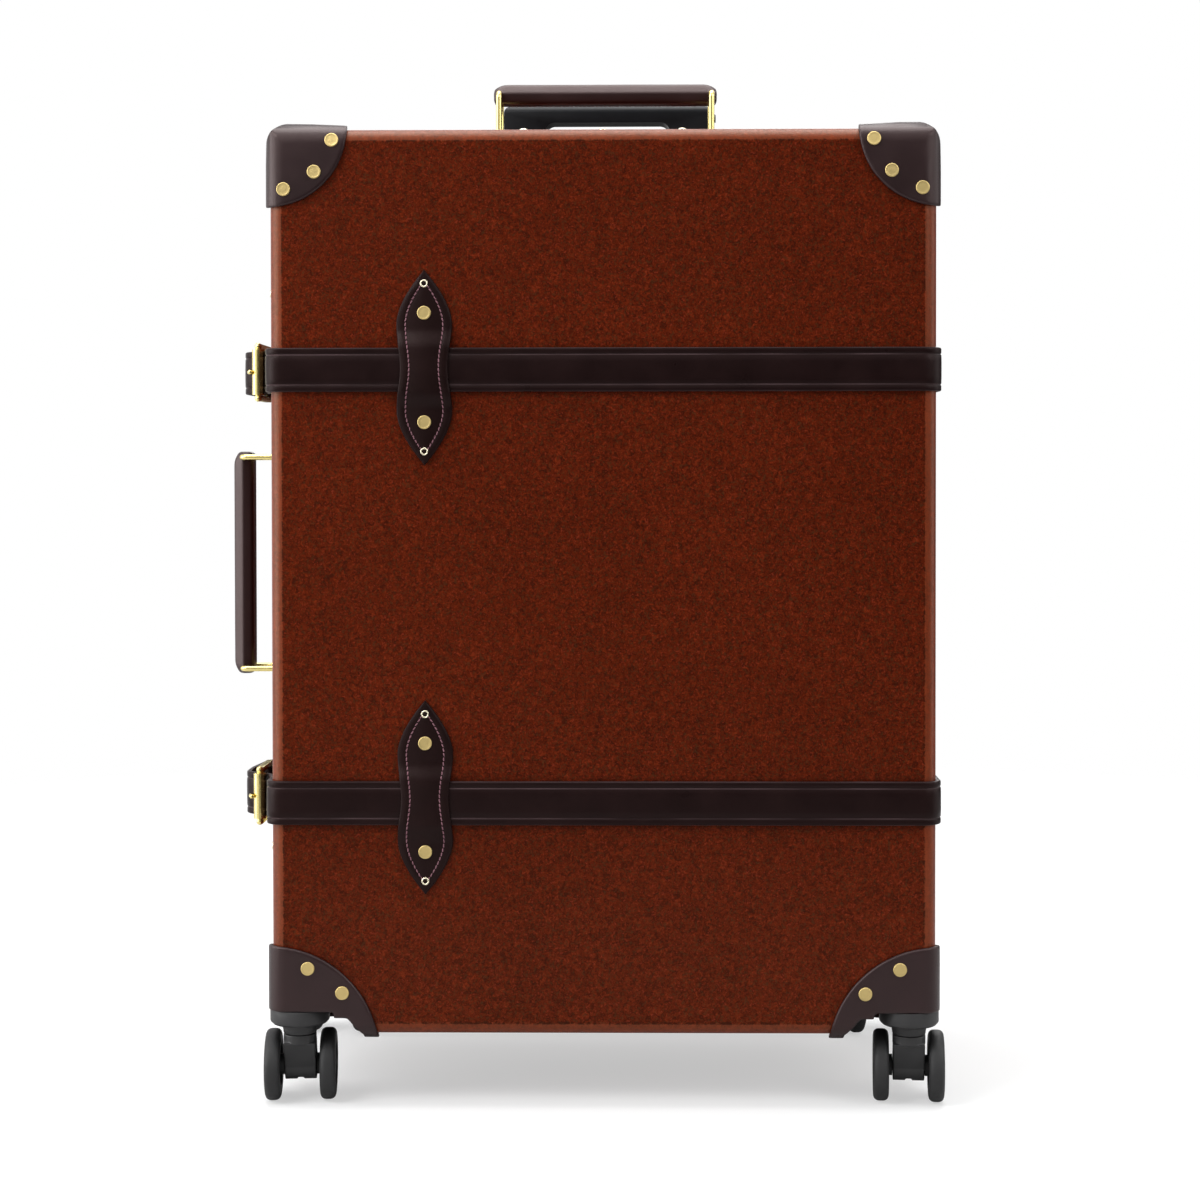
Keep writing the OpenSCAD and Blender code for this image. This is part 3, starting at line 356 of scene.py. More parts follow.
def fabric_material(name, dark, light):
    t = material(name, light)
    weave = t.math("MULTIPLY", t.bands("X", 420), t.bands("Z", 420))
    slub = t.noise(90, 3.0, 0.6)
    colour = t.ramp(t.math("ADD", t.math("MULTIPLY", weave, 0.5), t.math("MULTIPLY", slub, 0.5)),
                    [(0.2, dark), (0.7, light)])
    normal = t.bump(weave, 0.4, 0.0004)
    return t.shader(colour, 0.85, normal, Sheen_Weight=0.25)


BOARD = board_material()
LEATHER = leather_material("leather_dark", (0.0090, 0.0036, 0.0034), (0.0130, 0.0052, 0.0050),
                           0.31, 1.0, 0.12)
STRAP_LEATHER = leather_material("leather_strap", (0.0084, 0.0033, 0.0033), (0.0122, 0.0048, 0.0047),
                                 0.31, 0.8, 0.12, creases=True)
GRIP_LEATHER = leather_material("leather_grip", (0.0170, 0.0066, 0.0066), (0.0250, 0.0100, 0.0100),
                                0.36, 1.0, 0.5)
CAP_LEATHER = leather_material("leather_cap", (0.0125, 0.0050, 0.0058), (0.0178, 0.0074, 0.0082),
                               0.33, 0.8, 0.42)
THREAD = leather_material("thread_mauve", (0.19, 0.085, 0.105), (0.30, 0.15, 0.18), 0.7, 0.3, 0.25)
BRASS_SATIN = metal_material("brass_satin", (0.62, 0.475, 0.20), 0.44, pitted=0.6)
BRASS = metal_material("brass_polished", (0.82, 0.68, 0.27), 0.22)
PALE_BRASS = metal_material("brass_pale", (0.84, 0.77, 0.58), 0.24)
ALLOY = metal_material("alloy_brushed", (0.66, 0.67, 0.69), 0.34, brushed=0.25)
PLASTIC = plastic_material("plastic_black", (0.0050, 0.0052, 0.0062), 0.38, 0.25, 0.15)
CHARCOAL = plastic_material("plastic_charcoal", (0.0235, 0.0230, 0.0235), 0.44, 0.2)
TYRE = plastic_material("tyre_grey", (0.0170, 0.0168, 0.0172), 0.56, 0.2)
LINING = fabric_material("lining_cloth", (0.30, 0.23, 0.15), (0.50, 0.41, 0.29))


# Mesh helpers

def ease(x):
    x = min(max(x, 0), 1)
    return x * x * (3 - 2 * x)


def rot(deg, axis):
    return Matrix.Rotation(math.radians(deg), 4, axis)


def added(name, data):
    ob = bpy.data.objects.new(name, data)
    scene.collection.objects.link(ob)
    return ob


def finish_mesh(name, me, mat, body, stands_for=(), angle=35):
    """Makes a mesh a piece. It rides on a body, or, given two bodies and two points, stays in place with its
    transform baked and on no body.
    """
    me.materials.clear()
    me.materials.append(mat)
    me.shade_smooth()
    me.set_sharp_from_angle(angle=math.radians(angle))
    ob = added(name, me)
    if isinstance(body, str):
        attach(ob, body)
    else:
        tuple(body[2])
        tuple(body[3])
        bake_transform(ob)
    if stands_for:
        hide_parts(*stands_for)
    return ob


def closed_mesh(name, verts, faces):
    """A mesh from points in frame metres, with its faces turned outwards."""
    me = bpy.data.meshes.new(name)
    me.from_pydata([tuple(v) for v in verts], [], faces)
    bm = bmesh.new()
    bm.from_mesh(me)
    bmesh.ops.recalc_face_normals(bm, faces=bm.faces)
    bm.to_mesh(me)
    bm.free()
    return me


def build(name, verts, faces, mat, body, stands_for=(), angle=35):
    return finish_mesh(name, closed_mesh(name, verts, faces), mat, body, stands_for, angle)


class Pool:
    """Gathers several small shapes into one mesh."""

    def __init__(self):
        self.verts = []
        self.faces = []

    def add(self, verts, faces, matrix):
        k = len(self.verts)
        self.verts += [matrix @ Vector(v) for v in verts]
        self.faces += [[i + k for i in f] for f in faces]

    def build(self, name, mat, body, stands_for=(), angle=35):
        return build(name, self.verts, self.faces, mat, body, stands_for, angle)


def lathe(profile, steps=48):
    """Turns a profile of (radius, height) about z. Points on the axis close it."""
    verts, faces, rings = [], [], []
    for r, h in profile:
        if r < 1e-7:
            rings.append([len(verts)])
            verts.append((0, 0, h))
        else:
            rings.append(list(range(len(verts), len(verts) + steps)))
            turns = [2 * math.pi * i / steps for i in range(steps)]
            verts += [(r * math.cos(turn), r * math.sin(turn), h) for turn in turns]
    for a, b in zip(rings, rings[1:]):
        for i in range(steps):
            j = (i + 1) % steps
            if len(a) == 1 and len(b) > 1:
                faces.append([a[0], b[j], b[i]])
            elif len(b) == 1 and len(a) > 1:
                faces.append([a[i], a[j], b[0]])
            elif len(a) > 1:
                faces.append([a[i], a[j], b[j], b[i]])
    return verts, faces


def loft(rings):
    """Joins rings of equal length, with flat ends."""
    n = len(rings[0])
    last = (len(rings) - 1) * n
    verts = [v for ring in rings for v in ring]
    faces = []
    for a in range(0, last, n):
        b = a + n
        faces += [[a + j, a + (j + 1) % n, b + (j + 1) % n, b + j] for j in range(n)]
    faces += [list(range(n))[::-1], [last + j for j in range(n)]]
    return verts, faces


def applied(ob):
    """The object's mesh with its modifiers applied."""
    graph = bpy.context.evaluated_depsgraph_get()
    return bpy.data.meshes.new_from_object(ob.evaluated_get(graph))


def cut_away(ob, verts, faces):
    """Cuts a closed shape out of a piece."""
    cutter = added("cutter", closed_mesh("cutter", verts, faces))
    m = ob.modifiers.new("cut", "BOOLEAN")
    m.operation = "DIFFERENCE"
    m.solver = "EXACT"
    m.object = cutter
    new = applied(ob)
    ob.modifiers.remove(m)
    ob.data = new
    new.set_sharp_from_angle(angle=math.radians(42))
    bpy.data.objects.remove(cutter)


def peg(start, end, radius):
    """A plain closed rod between two points of the frame, as a cutter."""
    axis = end - start
    turn = axis.to_track_quat("Z", "Y").to_matrix().to_4x4()
    v, f = lathe([(0, 0), (radius, 0), (radius, axis.length), (0, axis.length)], 24)
    m = Matrix.Translation(start) @ turn
    return [m @ Vector(q) for q in v], f


def copy_of(node):
    """A node's own mesh as a new object, without the seams of its triangles."""
    me = nodes[node].data.copy()
    bm = bmesh.new()
    bm.from_mesh(me)
    bmesh.ops.remove_doubles(bm, verts=bm.verts, dist=2e-6)
    bmesh.ops.dissolve_limit(bm, angle_limit=math.radians(0.6), verts=bm.verts, edges=bm.edges)
    bm.to_mesh(me)
    bm.free()
    return added(node + "_copy", me)


def stand_in(node, ob, name, mat, angle):
    """Puts a changed copy of a node in its place."""
    me = applied(ob)
    bpy.data.objects.remove(ob)
    return finish_mesh(name, me, mat, nodes[node]["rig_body"], [node], angle)


def softened(node, name, mat, voxel, passes, keep):
    """A node's own shape with every edge worn round, as moulded leather or plastic has."""
    ob = copy_of(node)
    m = ob.modifiers.new("voxels", "REMESH")
    m.mode = "VOXEL"
    m.voxel_size = voxel * MM
    m = ob.modifiers.new("worn", "SMOOTH")
    m.factor = 0.5
    m.iterations = passes
    m = ob.modifiers.new("fewer", "DECIMATE")
    m.ratio = keep
    return stand_in(node, ob, name, mat, 80)


def bevelled(node, mat, width, segments=2):
    """A node's own shape with its hard edges broken."""
    ob = copy_of(node)
    m = ob.modifiers.new("edges", "BEVEL")
    m.width = width * MM
    m.segments = segments
    m.limit_method = "ANGLE"
    m.angle_limit = math.radians(40)
    return stand_in(node, ob, node + "_edged", mat, 32)


def dress(node, mat):
    """Gives a CAD node its material."""
    ob = nodes[node]
    ob.data.materials.clear()
    ob.data.materials.append(mat)


# Corner caps, rivets and screws

def fuller_corners(ob):
    """Rounds the outer corner of each top cap and lets the leather stand a little fuller over it."""
    r, bulge, lowest = 20.0, 1.6, 70
    for v in ob.data.vertices:
        a = W / 2 + CAP_T - abs(v.co.x - SX) / MM
        b = TOP + CAP_T - v.co.z / MM
        if b > lowest:
            continue
        # How far the point lies under the cap's outer face, as a share of its thickness
        deep = OUT - math.hypot(OUT - a, OUT - b) if a < OUT and b < OUT else min(a, b)
        share = 1 - ease(deep / CAP_T)
        if share <= 0:
            continue
        if a < r and b < r:
            d = math.hypot(r - a, r - b)
            if d > r:
                a, b = r + (a - r) * (1 + share * (r / d - 1)), r + (b - r) * (1 + share * (r / d - 1))
        if b < OUT:
            b -= bulge * share * ease(a / 16) * (1 - ease((a - 22) / 34)) * (1 - ease(b / OUT))
        v.co.x = SX + math.copysign((W / 2 + CAP_T - a) * MM, v.co.x - SX)
        v.co.z = (TOP + CAP_T - b) * MM


def corner_matrix(sx, sy, top):
    """A corner's own axes: x and y run inwards from the walls, z inwards from the top or underside."""
    m = Matrix.Identity(4)
    m[0][0] = -1 if sx > 0 else 1
    m[1][1] = -1 if sy > 0 else 1
    m[2][2] = -1 if top else 1
    origin = place(sx * W / 2, FRONT if sy < 0 else BACK, TOP if top else BOTTOM)
    return Matrix.Translation(origin) @ m @ Matrix.Scale(MM, 4)


def on_face(a, b):
    """A spot on a cap's front, a and b from the case's corner, leaning where the edge is round."""
    tilt_a = math.degrees(math.asin(max(EDGE_R - a, 0) / OUT))
    tilt_b = math.degrees(math.asin(max(EDGE_R - b, 0) / OUT))
    return (Matrix.Translation((max(a, EDGE_R), EDGE_R, max(b, EDGE_R))) @ rot(-tilt_a, "Z")
            @ rot(tilt_b, "X") @ rot(90, "X") @ Matrix.Translation((0, 0, OUT)))


SWAP_XY = Matrix(((0, 1, 0, 0), (1, 0, 0, 0), (0, 0, 1, 0), (0, 0, 0, 1)))
SWAP_YZ = Matrix(((1, 0, 0, 0), (0, 0, 1, 0), (0, 1, 0, 0), (0, 0, 0, 1)))


def cap_rivet_places(sy):
    """On a cap's front, then its side, and one on its top."""
    found = []
    for sx in (-1, 1):
        for top in (False, True):
            c = corner_matrix(sx, sy, top)
            found += [c @ on_face(a, b) for a, b in (CAP_RIVETS if top else LOW_CAP_RIVETS)]
            found += [c @ SWAP_XY @ on_face(a, b) for a, b in (CAP_RIVETS[:2] if top else LOW_CAP_RIVETS)]
            if top:
                found.append(c @ SWAP_YZ @ on_face(*CAP_RIVETS[1]))
    return found


def on_wall(sy, x, z, lift):
    """A spot on the front or back wall."""
    y = FRONT - lift if sy < 0 else BACK + lift
    return Matrix.Translation(place(x, y, z)) @ rot(-sy * 90, "X") @ Matrix.Scale(MM, 4)


def rivets():
    head = [(0, -0.6), (4.9, -0.6), (5.2, 0.0), (5.2, 0.5), (5.12, 0.8), (4.9, 1.02), (4.6, 1.12),
            (4.3, 1.08), (4.0, 1.0), (2.4, 1.06), (0, 1.1)]
    v, f = lathe(head, 40)
    for sy, body, node in ((-1, "lid", "front_rivets"), (1, "base", "rear_rivets")):
        pool = Pool()
        for m in cap_rivet_places(sy):
            pool.add(v, f, m)
        for level, z in STRAPS.items():
            for k in (-1, 1):
                pool.add(v, f, on_wall(sy, PATCH_X, z + PATCH_UP[level] + k * RIVET_AT, PATCH_T))
        pool.build(node + "_heads", BRASS_SATIN, body, [node], 50)


def small_screws():
    """Pale ringed heads with dark cores, the cores painted shade for the recess in each head: on the front
    patches, along the top and on the left edge.
    """
    ring = [(2.95, -0.5), (3.1, 0.2), (3.0, 0.7), (2.75, 1.05), (2.4, 1.2), (2.05, 1.1), (1.75, 0.75),
            (1.6, 0.25), (1.6, -0.5)]
    v, f = lathe(ring + ring[:1], 32)
    # The dark core is painted shade: a dark piece where the recess in the head lies in shade
    core = [(0, -0.4), (1.62, -0.4), (1.62, 0.1), (1.2, 0.18), (0.9, 0.5), (0.5, 0.66), (0, 0.7)]
    core_v, core_f = lathe(core, 24)
    spots = [on_wall(-1, PATCH_X, z + PATCH_UP[level] + k * SCREW_AT, PATCH_T)
             for level, z in STRAPS.items() for k in (-1, 1)]
    near_front = FRONT + EDGE_R + 3.2
    scale = Matrix.Scale(MM, 4)
    spots += [Matrix.Translation(place(x, near_front, TOP)) @ scale for x in (-60, 0, 60)]
    spots += [Matrix.Translation(place(-W / 2, near_front, z)) @ rot(-90, "Y") @ scale
              for z in LOCKS.values()]
    heads, cores = Pool(), Pool()
    for m in spots:
        heads.add(v, f, m)
        cores.add(core_v, core_f, m)
    heads.build("small_screw_heads", PALE_BRASS, "lid", ["small_screws"], 50)
    cores.build("small_screw_shade_cores", LEATHER, "lid", (), 50)


# Straps, as bands swept along a line in plan

def strap_section(thick):
    """Points of (out, height), round from one edge to the other, creased beside both."""
    h = STRAP_W / 2
    crease = h - CREASE_IN
    half = [(0.0, h - 0.7), (0.3, h - 0.15), (0.8, h), (thick - 1.3, h), (thick - 0.6, h - 0.2),
            (thick - 0.18, h - 0.6), (thick, h - 1.3), (thick, crease + 1.0),
            (thick - CREASE_DEPTH * 0.6, crease + 0.35), (thick - CREASE_DEPTH, crease),
            (thick - CREASE_DEPTH * 0.6, crease - 0.35), (thick + 0.05, crease - 1.0),
            (thick + 0.18, h * 0.35), (thick + 0.2, 0.0)]
    return half + [(out, -z) for out, z in half[-2::-1]]


def smooth_line(points, radius, step):
    """A line through points, with its corners rounded and even steps."""
    pts = [Vector(p) for p in points]
    out = [pts[0]]
    for a, b, c in zip(pts, pts[1:], pts[2:]):
        r = radius(b) if callable(radius) else radius
        u, v = (a - b).normalized(), (c - b).normalized()
        half = math.acos(max(-1, min(1, u.dot(v)))) / 2
        cut = min(r / math.tan(half), (a - b).length * 0.49, (c - b).length * 0.49)
        r = cut * math.tan(half)
        centre = b + (u + v).normalized() * (r / math.sin(half))
        s, e = b + u * cut - centre, b + v * cut - centre
        turn = math.atan2(s.x * e.y - s.y * e.x, s.dot(e))
        k = max(3, int(abs(turn) / math.radians(9)))
        for i in range(k + 1):
            cos, sin = math.cos(turn * i / k), math.sin(turn * i / k)
            out.append(centre + Vector((s.x * cos - s.y * sin, s.x * sin + s.y * cos)))
    out.append(pts[-1])
    full = [out[0]]
    for p in out[1:]:
        gap = (p - full[-1]).length
        if gap < 1e-4:
            continue
        k = max(1, int(round(gap / step)))
        q = full[-1].copy()
        full += [q.lerp(p, i / k) for i in range(1, k + 1)]
    return full


def band(name, line, z, body, stands_for, side, thick=lambda t: STRAP_T):
    """A strap whose inner face follows the line, standing out to the given side of its direction."""
    n = len(line)
    rings = []
    for i, p in enumerate(line):
        a, b = line[max(i - 1, 0)], line[min(i + 1, n - 1)]
        tangent = (b - a).normalized()
        normal = Vector((-tangent.y, tangent.x)) * side
        t = thick(i / (n - 1))
        ring = []
        for out, h in strap_section(t):
            if out > t * 0.5:
                out += WAVE * noise.noise(Vector((p.x * 0.03, p.y * 0.03, (z + h) * 0.02)))
            q = p + normal * out
            ring.append(place(q.x, q.y, z + h))
        rings.append(ring)
    # Both ends are drawn in a little, so that their edges aren't sharp
    worn = 0.35 * MM
    for end, other in ((0, 1), (-1, -2)):
        mid = sum(rings[end], Vector()) / len(rings[end])
        away = (mid - sum(rings[other], Vector()) / len(rings[other])).normalized()
        cap = [v.lerp(mid, worn / max((v - mid).length, 1e-6)) + away * worn for v in rings[end]]
        rings = [cap] + rings if end == 0 else rings + [cap]
    verts, faces = loft(rings)
    return build(name, verts, faces, STRAP_LEATHER, body, stands_for, 42)


def arc_points(centre, radius, start, end, step):
    k = max(2, int(abs(end - start) / step))
    turns = [math.radians(start + (end - start) * i / k) for i in range(k + 1)]
    return [Vector(centre) + radius * Vector((math.cos(turn), math.sin(turn))) for turn in turns]


def tangent_angle(point, centre, radius, turn):
    """The angle on a circle where a line from the point touches it."""
    dx, dy = point[0] - centre[0], point[1] - centre[1]
    return math.degrees(math.atan2(dy, dx)) + turn * math.degrees(math.acos(radius / math.hypot(dx, dy)))


def offset_line(points, t):
    """The line beside a line, t to its right-hand side."""
    out = []
    for i, p in enumerate(points):
        a, c = points[max(i - 1, 0)], points[min(i + 1, len(points) - 1)]
        p, a, c = Vector(p), Vector(a), Vector(c)
        u = (p - a).normalized() if i else (c - p).normalized()
        v = (c - p).normalized() if i < len(points) - 1 else u
        m = Vector((u.y + v.y, -u.x - v.x))
        out.append(p + m * t / (1 + u.dot(v)))
    return out


def punch_holes(strap, z):
    """The hole that the prong stands in, where the free end leans, and three spare ones behind it."""
    away = Vector((-0.155, -1.0, 0)).normalized()
    hole = place(*left(17.5, 47.0), z)
    cut_away(strap, *peg(hole - away * 9 * MM, hole + away * 14 * MM, 2.4 * MM))
    for back in (99.0, 116.0, 133.0):
        cut_away(strap, *peg(place(*left(2, back), z), place(*left(40, back), z), 1.9 * MM))


def front_strap(level, z):
    """The lid's strap, whose free end runs under the roller, over the rear bar and through the keeper."""
    roller_in = ROLLER.y - FRONT
    lo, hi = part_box("buckle_roller_upper")
    sleeve = (hi.x - lo.x) / MM / 2
    top = BAR_OUT + LOOP_R + 0.4 + TIP_T
    held = 4.4 + TIP_T
    outer = [(TIP_T, 20.0), (BAR_OUT - sleeve - 1.6, roller_in + 2.5), (BAR_OUT + 11.2, roller_in + 16),
             (top + 4.5, roller_in + 22), (top + 4.5, BAR_IN), (top, 118.0), (held, KEEPER_IN - 2),
             (held, TIP_BACK)]
    inner = offset_line([left(*p) for p in outer[::-1]], -TIP_T)
    under = inner[-2]

    def corner(b):
        if abs(b.y - FRONT) < 1:
            return EDGE_R
        return 8.6 if (b - under).length < 1 else 12.0

    points = inner[:-1] + [left(0, 18), left(0, 0), (W / 2, FRONT), (W / 2, LID_END)]
    line = smooth_line(points, corner, 4.0)
    wrap = next(i for i, p in enumerate(line) if p.y < FRONT + 24 and p.x < 0)

    def thick(t):
        return TIP_T + 0.5 * ease((t * (len(line) - 1) - wrap) / 5)

    strap = band("strap_front_" + level, line, z, "lid", ["front_straps", "strap_tips"], -1, thick)
    punch_holes(strap, z)


def rear_strap(level, z):
    """The base's strap, which starts as a flap, loops round the pivot bar and lies down on the case."""
    flap_end = left(10.2, 108.0)
    start = tangent_angle(flap_end, BAR, LOOP_R, 1)
    end = tangent_angle(left(0, LIFT_IN), BAR, LOOP_R, -1)
    line = [Vector(flap_end)] + arc_points(BAR, LOOP_R, start, end + 360 if end < start else end, 12)
    turned = len(line)
    run = smooth_line([line[-1], left(0, LIFT_IN), (-W / 2, BACK), (W / 2, BACK), (W / 2, BASE_END)],
                      lambda b: EDGE_R if abs(b.y - BACK) < 1 else 30.0, 5.0)
    gap = line[1] - line[0]
    line = [line[0] + gap * i / 5 for i in range(5)] + line[1:] + run[1:]

    def thick(t):
        return LOOP_T + 0.6 * ease((t * (len(line) - 1) - turned - 6) / 6)

    strap = band("strap_rear_" + level, line, z, "base", ["rear_straps", "strap_bridges"], 1, thick)
    # The prong turns in a slot of the loop
    lo = place(BAR[0] - 3 * LOOP_R / 2, BAR[1] - LOOP_R - 1, z - 4.5)
    hi = place(BAR[0] + 3 * LOOP_R / 2, BAR[1] + LOOP_R + 1, z + 4.5)
    corners = [(x, y, h) for x in (lo.x, hi.x) for y in (lo.y, hi.y) for h in (lo.z, hi.z)]
    cut_away(strap, corners, [(0, 1, 3, 2), (4, 6, 7, 5), (0, 4, 5, 1), (2, 3, 7, 6), (0, 2, 6, 4),
                              (1, 5, 7, 3)])


def keeper(level, z):
    """A leather loop that holds the free end down on the rear strap."""
    half, out, t = STRAP_W / 2 + 0.5, 8.4, 2.0
    path = smooth_line([(0.1, -half), (out, -half), (out, half), (0.1, half)], 1.6, 3.0)
    section = ((0.5, 0.0), (KEEPER_LEN - 0.5, 0.0), (KEEPER_LEN, 0.4), (KEEPER_LEN, t - 0.7),
               (KEEPER_LEN - 0.6, t), (KEEPER_LEN / 2, t + 0.25), (0.6, t), (0.0, t - 0.7), (0.0, 0.4))
    rings = []
    for i, p in enumerate(path):
        a, b = path[max(i - 1, 0)], path[min(i + 1, len(path) - 1)]
        d = (b - a).normalized()
        away = Vector((d.y, -d.x))
        ring = []
        for back, lift in section:
            q = p + away * lift
            ring.append(place(-W / 2 - q.x, FRONT + KEEPER_IN + back, z + q.y))
        rings.append(ring)
    verts, faces = loft(rings)
    build("strap_keeper_" + level, verts, faces, LEATHER, "base", ["strap_bridges"], 42)


def straps():
    for level, z in STRAPS.items():
        front_strap(level, z)
        rear_strap(level, z)
        keeper(level, z)
        # The stretch over the hinges, between the base and the lid
        line = smooth_line([(W / 2, BASE_END), (W / 2, LID_END)], 1, 1.5)
        ends = ("base", "lid", place(W / 2, BASE_END - 3, z), place(W / 2, LID_END + 3, z))
        band("strap_bend_" + level, line, z, ends, ["strap_bridges"], 1)


def buckle_knobs():
    """The rounded ends of each buckle's front bar."""
    knob = [(0, 3.1), (1.2, 2.95), (2.1, 2.3), (2.6, 1.2), (2.7, 0.2), (2.4, -0.9), (2.0, -1.5), (2.3, -2.2),
            (2.0, -2.9), (0, -3.0)]
    v, f = lathe(knob, 24)
    for level in STRAPS:
        node = "buckle_frame_" + level
        lo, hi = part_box(node)
        bar = middle("buckle_roller_" + level)
        pool = Pool()
        for turn, z in ((0, hi.z / MM - 2.2), (180, lo.z / MM + 2.2)):
            pool.add(v, f, Matrix.Translation(place(bar.x, bar.y, z)) @ rot(turn, "X") @ Matrix.Scale(MM, 4))
        pool.build(node + "_knobs", BRASS, nodes[node]["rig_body"], (), 50)


# Patches and their stitching

def patch_half(u):
    """Half the patch's width, with u from -1 to 1 along it."""
    u, shoulder = abs(u), 0.45
    if u < shoulder:
        return PATCH_WAIST / 2 + (PATCH_W - PATCH_WAIST) / 2 * math.sin(math.radians(200 * u)) ** 2
    return PATCH_W / 2 * (1 - ((u - shoulder) / (1 - shoulder)) ** 1.7)


def patch_rise(z):
    """How far the leather is lifted by the strap below it."""
    edge = STRAP_W / 2 + 0.4
    return STRAP_T * (1 - ease((abs(z) - edge + 1.0) / 15.0))


def patch_section(hw):
    """Points of (across, height) for a half width, with the groove that the seam lies in."""
    half = [(-hw, 0.02), (-hw, 0.7), (-hw + min(0.25, hw / 4), 1.9), (-hw + min(0.9, hw / 3), 2.4)]
    if hw > SEAM_IN + 3:
        half += [(-hw + SEAM_IN - 1.1, 2.5), (-hw + SEAM_IN, 2.15), (-hw + SEAM_IN + 1.1, 2.52)]
    else:
        k = hw / (SEAM_IN + 3)
        half += [(-hw + (SEAM_IN - 1.1) * k, 2.48), (-hw + SEAM_IN * k, 2.48),
                 (-hw + (SEAM_IN + 1.1) * k, 2.5)]
    return half + [(0.0, 2.62)] + [(-x, h) for x, h in half[::-1]]


def patch_skin(sy, strap_at, steps=72):
    rings = []
    for i in range(steps + 1):
        u = max(-0.9985, min(0.9985, -1 + 2 * i / steps))
        z = u * (PATCH_LEN / 2) * -sy
        lift = patch_rise(z - strap_at)
        rings.append([(x, z, h + lift) for x, h in patch_section(max(patch_half(u), 0.25))])
    return loft(rings)


def stitch_places(side, strap_at, steps=1200, reach=0.86, first=2.2, pitch=3.45):
    """Where the stitches lie in the groove of one side, one after the other, each leaning a little."""
    path = []
    for i in range(steps + 1):
        u = -reach + 2 * reach * i / steps
        path.append(Vector((side * max(patch_half(u) - SEAM_IN, 1.5), u * (PATCH_LEN / 2))))
    cos, sin = math.cos(0.16 * side), math.sin(0.16 * side)
    gone = 0.0
    for a, b in zip(path, path[1:]):
        gone += (b - a).length
        if gone < first:
            continue
        first += pitch
        d = (b - a).normalized()
        d = Vector((d.x * cos - d.y * sin, d.x * sin + d.y * cos))
        y = a.y - strap_at
        slope = (patch_rise(y + 0.5) - patch_rise(y - 0.5)) * d.y
        along = Vector((d.x, d.y, slope)).normalized()
        across = along.cross(Vector((0, 0, 1))).normalized()
        spin = Matrix((across, across.cross(along), along)).transposed().to_4x4()
        yield Matrix.Translation((a.x, a.y, 2.42 + patch_rise(y))) @ spin


def patches():
    # A stitch is a short piece of thread, drawn in at both ends
    thread = [(0, -1.42), (0.30, -1.35), (0.46, -1.05), (0.50, 0.0), (0.46, 1.05), (0.30, 1.35), (0, 1.42)]
    thread_v, thread_f = lathe(thread, 8)
    for sy, body, node in ((-1, "lid", "front_patches"), (1, "base", "rear_patches")):
        skin, seam = Pool(), Pool()
        for level, z in STRAPS.items():
            strap_at = sy * PATCH_UP[level]
            m = on_wall(sy, PATCH_X, z + PATCH_UP[level], 0)
            skin.add(*patch_skin(sy, strap_at), m)
            for side in (-1, 1):
                for spot in stitch_places(side, strap_at):
                    seam.add(thread_v, thread_f, m @ spot)
        skin.build(node + "_leather", LEATHER, body, [node], 50)
        seam.build(node + "_stitches", THREAD, body, (), 60)


# Carry handles

def grip_ring(x, w, up, down):
    """A grip's section: a slanted upper facet each side, a ridge, and a lower facet drawn in."""
    half = [(0.0, up), (0.40 * w, up * 0.995), (0.53 * w, up * 0.95), (0.63 * w, up * 0.84),
            (0.70 * w, up * 0.70), (0.93 * w, up * 0.20), (0.985 * w, up * 0.06), (w, -0.03 * down),
            (0.985 * w, -0.14 * down), (0.90 * w, -0.62 * down), (0.85 * w, -0.80 * down),
            (0.76 * w, -0.93 * down), (0.62 * w, -0.985 * down), (0.0, -down)]
    return [(x, y, z) for y, z in half] + [(x, -y, z) for y, z in half[-2:0:-1]]


def handle_grips():
    # Steps from a grip's end: distance, then the shares of its width, upper half and lower half
    worn = [(0.0, 0.62, 0.30, 0.62), (0.3, 0.74, 0.42, 0.76), (1.0, 0.85, 0.55, 0.88),
            (2.4, 0.93, 0.68, 0.96), (4.5, 0.98, 0.82, 1.0), (6.5, 1.0, 0.92, 1.0), (8.5, 1.0, 0.975, 1.0),
            (GRIP_END, 1.0, 1.0, 1.0)]
    half_len, straight = GRIP_LEN / 2, GRIP_LEN - 2 * GRIP_END
    sections = [(-half_len + d, *shares) for d, *shares in worn]
    sections += [(-half_len + GRIP_END + straight * i / 30, 1.0, 1.0, 1.0) for i in range(1, 30)]
    sections += [(half_len - d, *shares) for d, *shares in worn[::-1]]
    stitch_in, pitch = 15, 3.4
    thread = [(0, -1.3), (0.3, -1.22), (0.42, -0.9), (0.45, 0), (0.42, 0.9), (0.3, 1.22), (0, 1.3)]
    thread_v, thread_f = lathe(thread, 8)
    upper, outer = middle("top_handle_grip"), middle("side_handle_grip")
    on_top = Matrix.Translation(place(0, upper.y, TOP))
    on_side = Matrix.Translation(place(-W / 2, outer.y, outer.z)) @ rot(-90, "Y")
    # Where each grip sits, how far out its middle is, and the start of its waves
    for name, m, centre, seed in (("top", on_top, upper.z - TOP, 3.0),
                                  ("side", on_side, -W / 2 - outer.x, 7.0)):
        m = m @ Matrix.Scale(MM, 4)
        rings = []
        for x, wide, up, down in sections:
            wave = 1 + 0.02 * noise.noise(Vector((x * 0.02, seed, 0)))
            ring = grip_ring(x, GRIP_W / 2 * wide * wave, GRIP_T / 2 * up * wave, GRIP_T / 2 * down)
            rings.append([(a, b, c + centre) for a, b, c in ring])
        leather, seam = Pool(), Pool()
        leather.add(*loft(rings), m)
        leather.build(name + "_grip_leather", GRIP_LEATHER, "base", [name + "_handle_grip"], 50)
        # Two rows of stitches under the grip, where the leather meets
        for side in (-1, 1):
            for i in range(int((GRIP_LEN - 2 * stitch_in) / pitch)):
                x = -half_len + stitch_in + pitch * i
                spot = Matrix.Translation((x, side * 5.2, centre - GRIP_T / 2 + 0.25)) @ rot(90, "Y")
                seam.add(thread_v, thread_f, m @ spot)
        seam.build(name + "_grip_stitches", THREAD, "base", (), 60)


# Casters

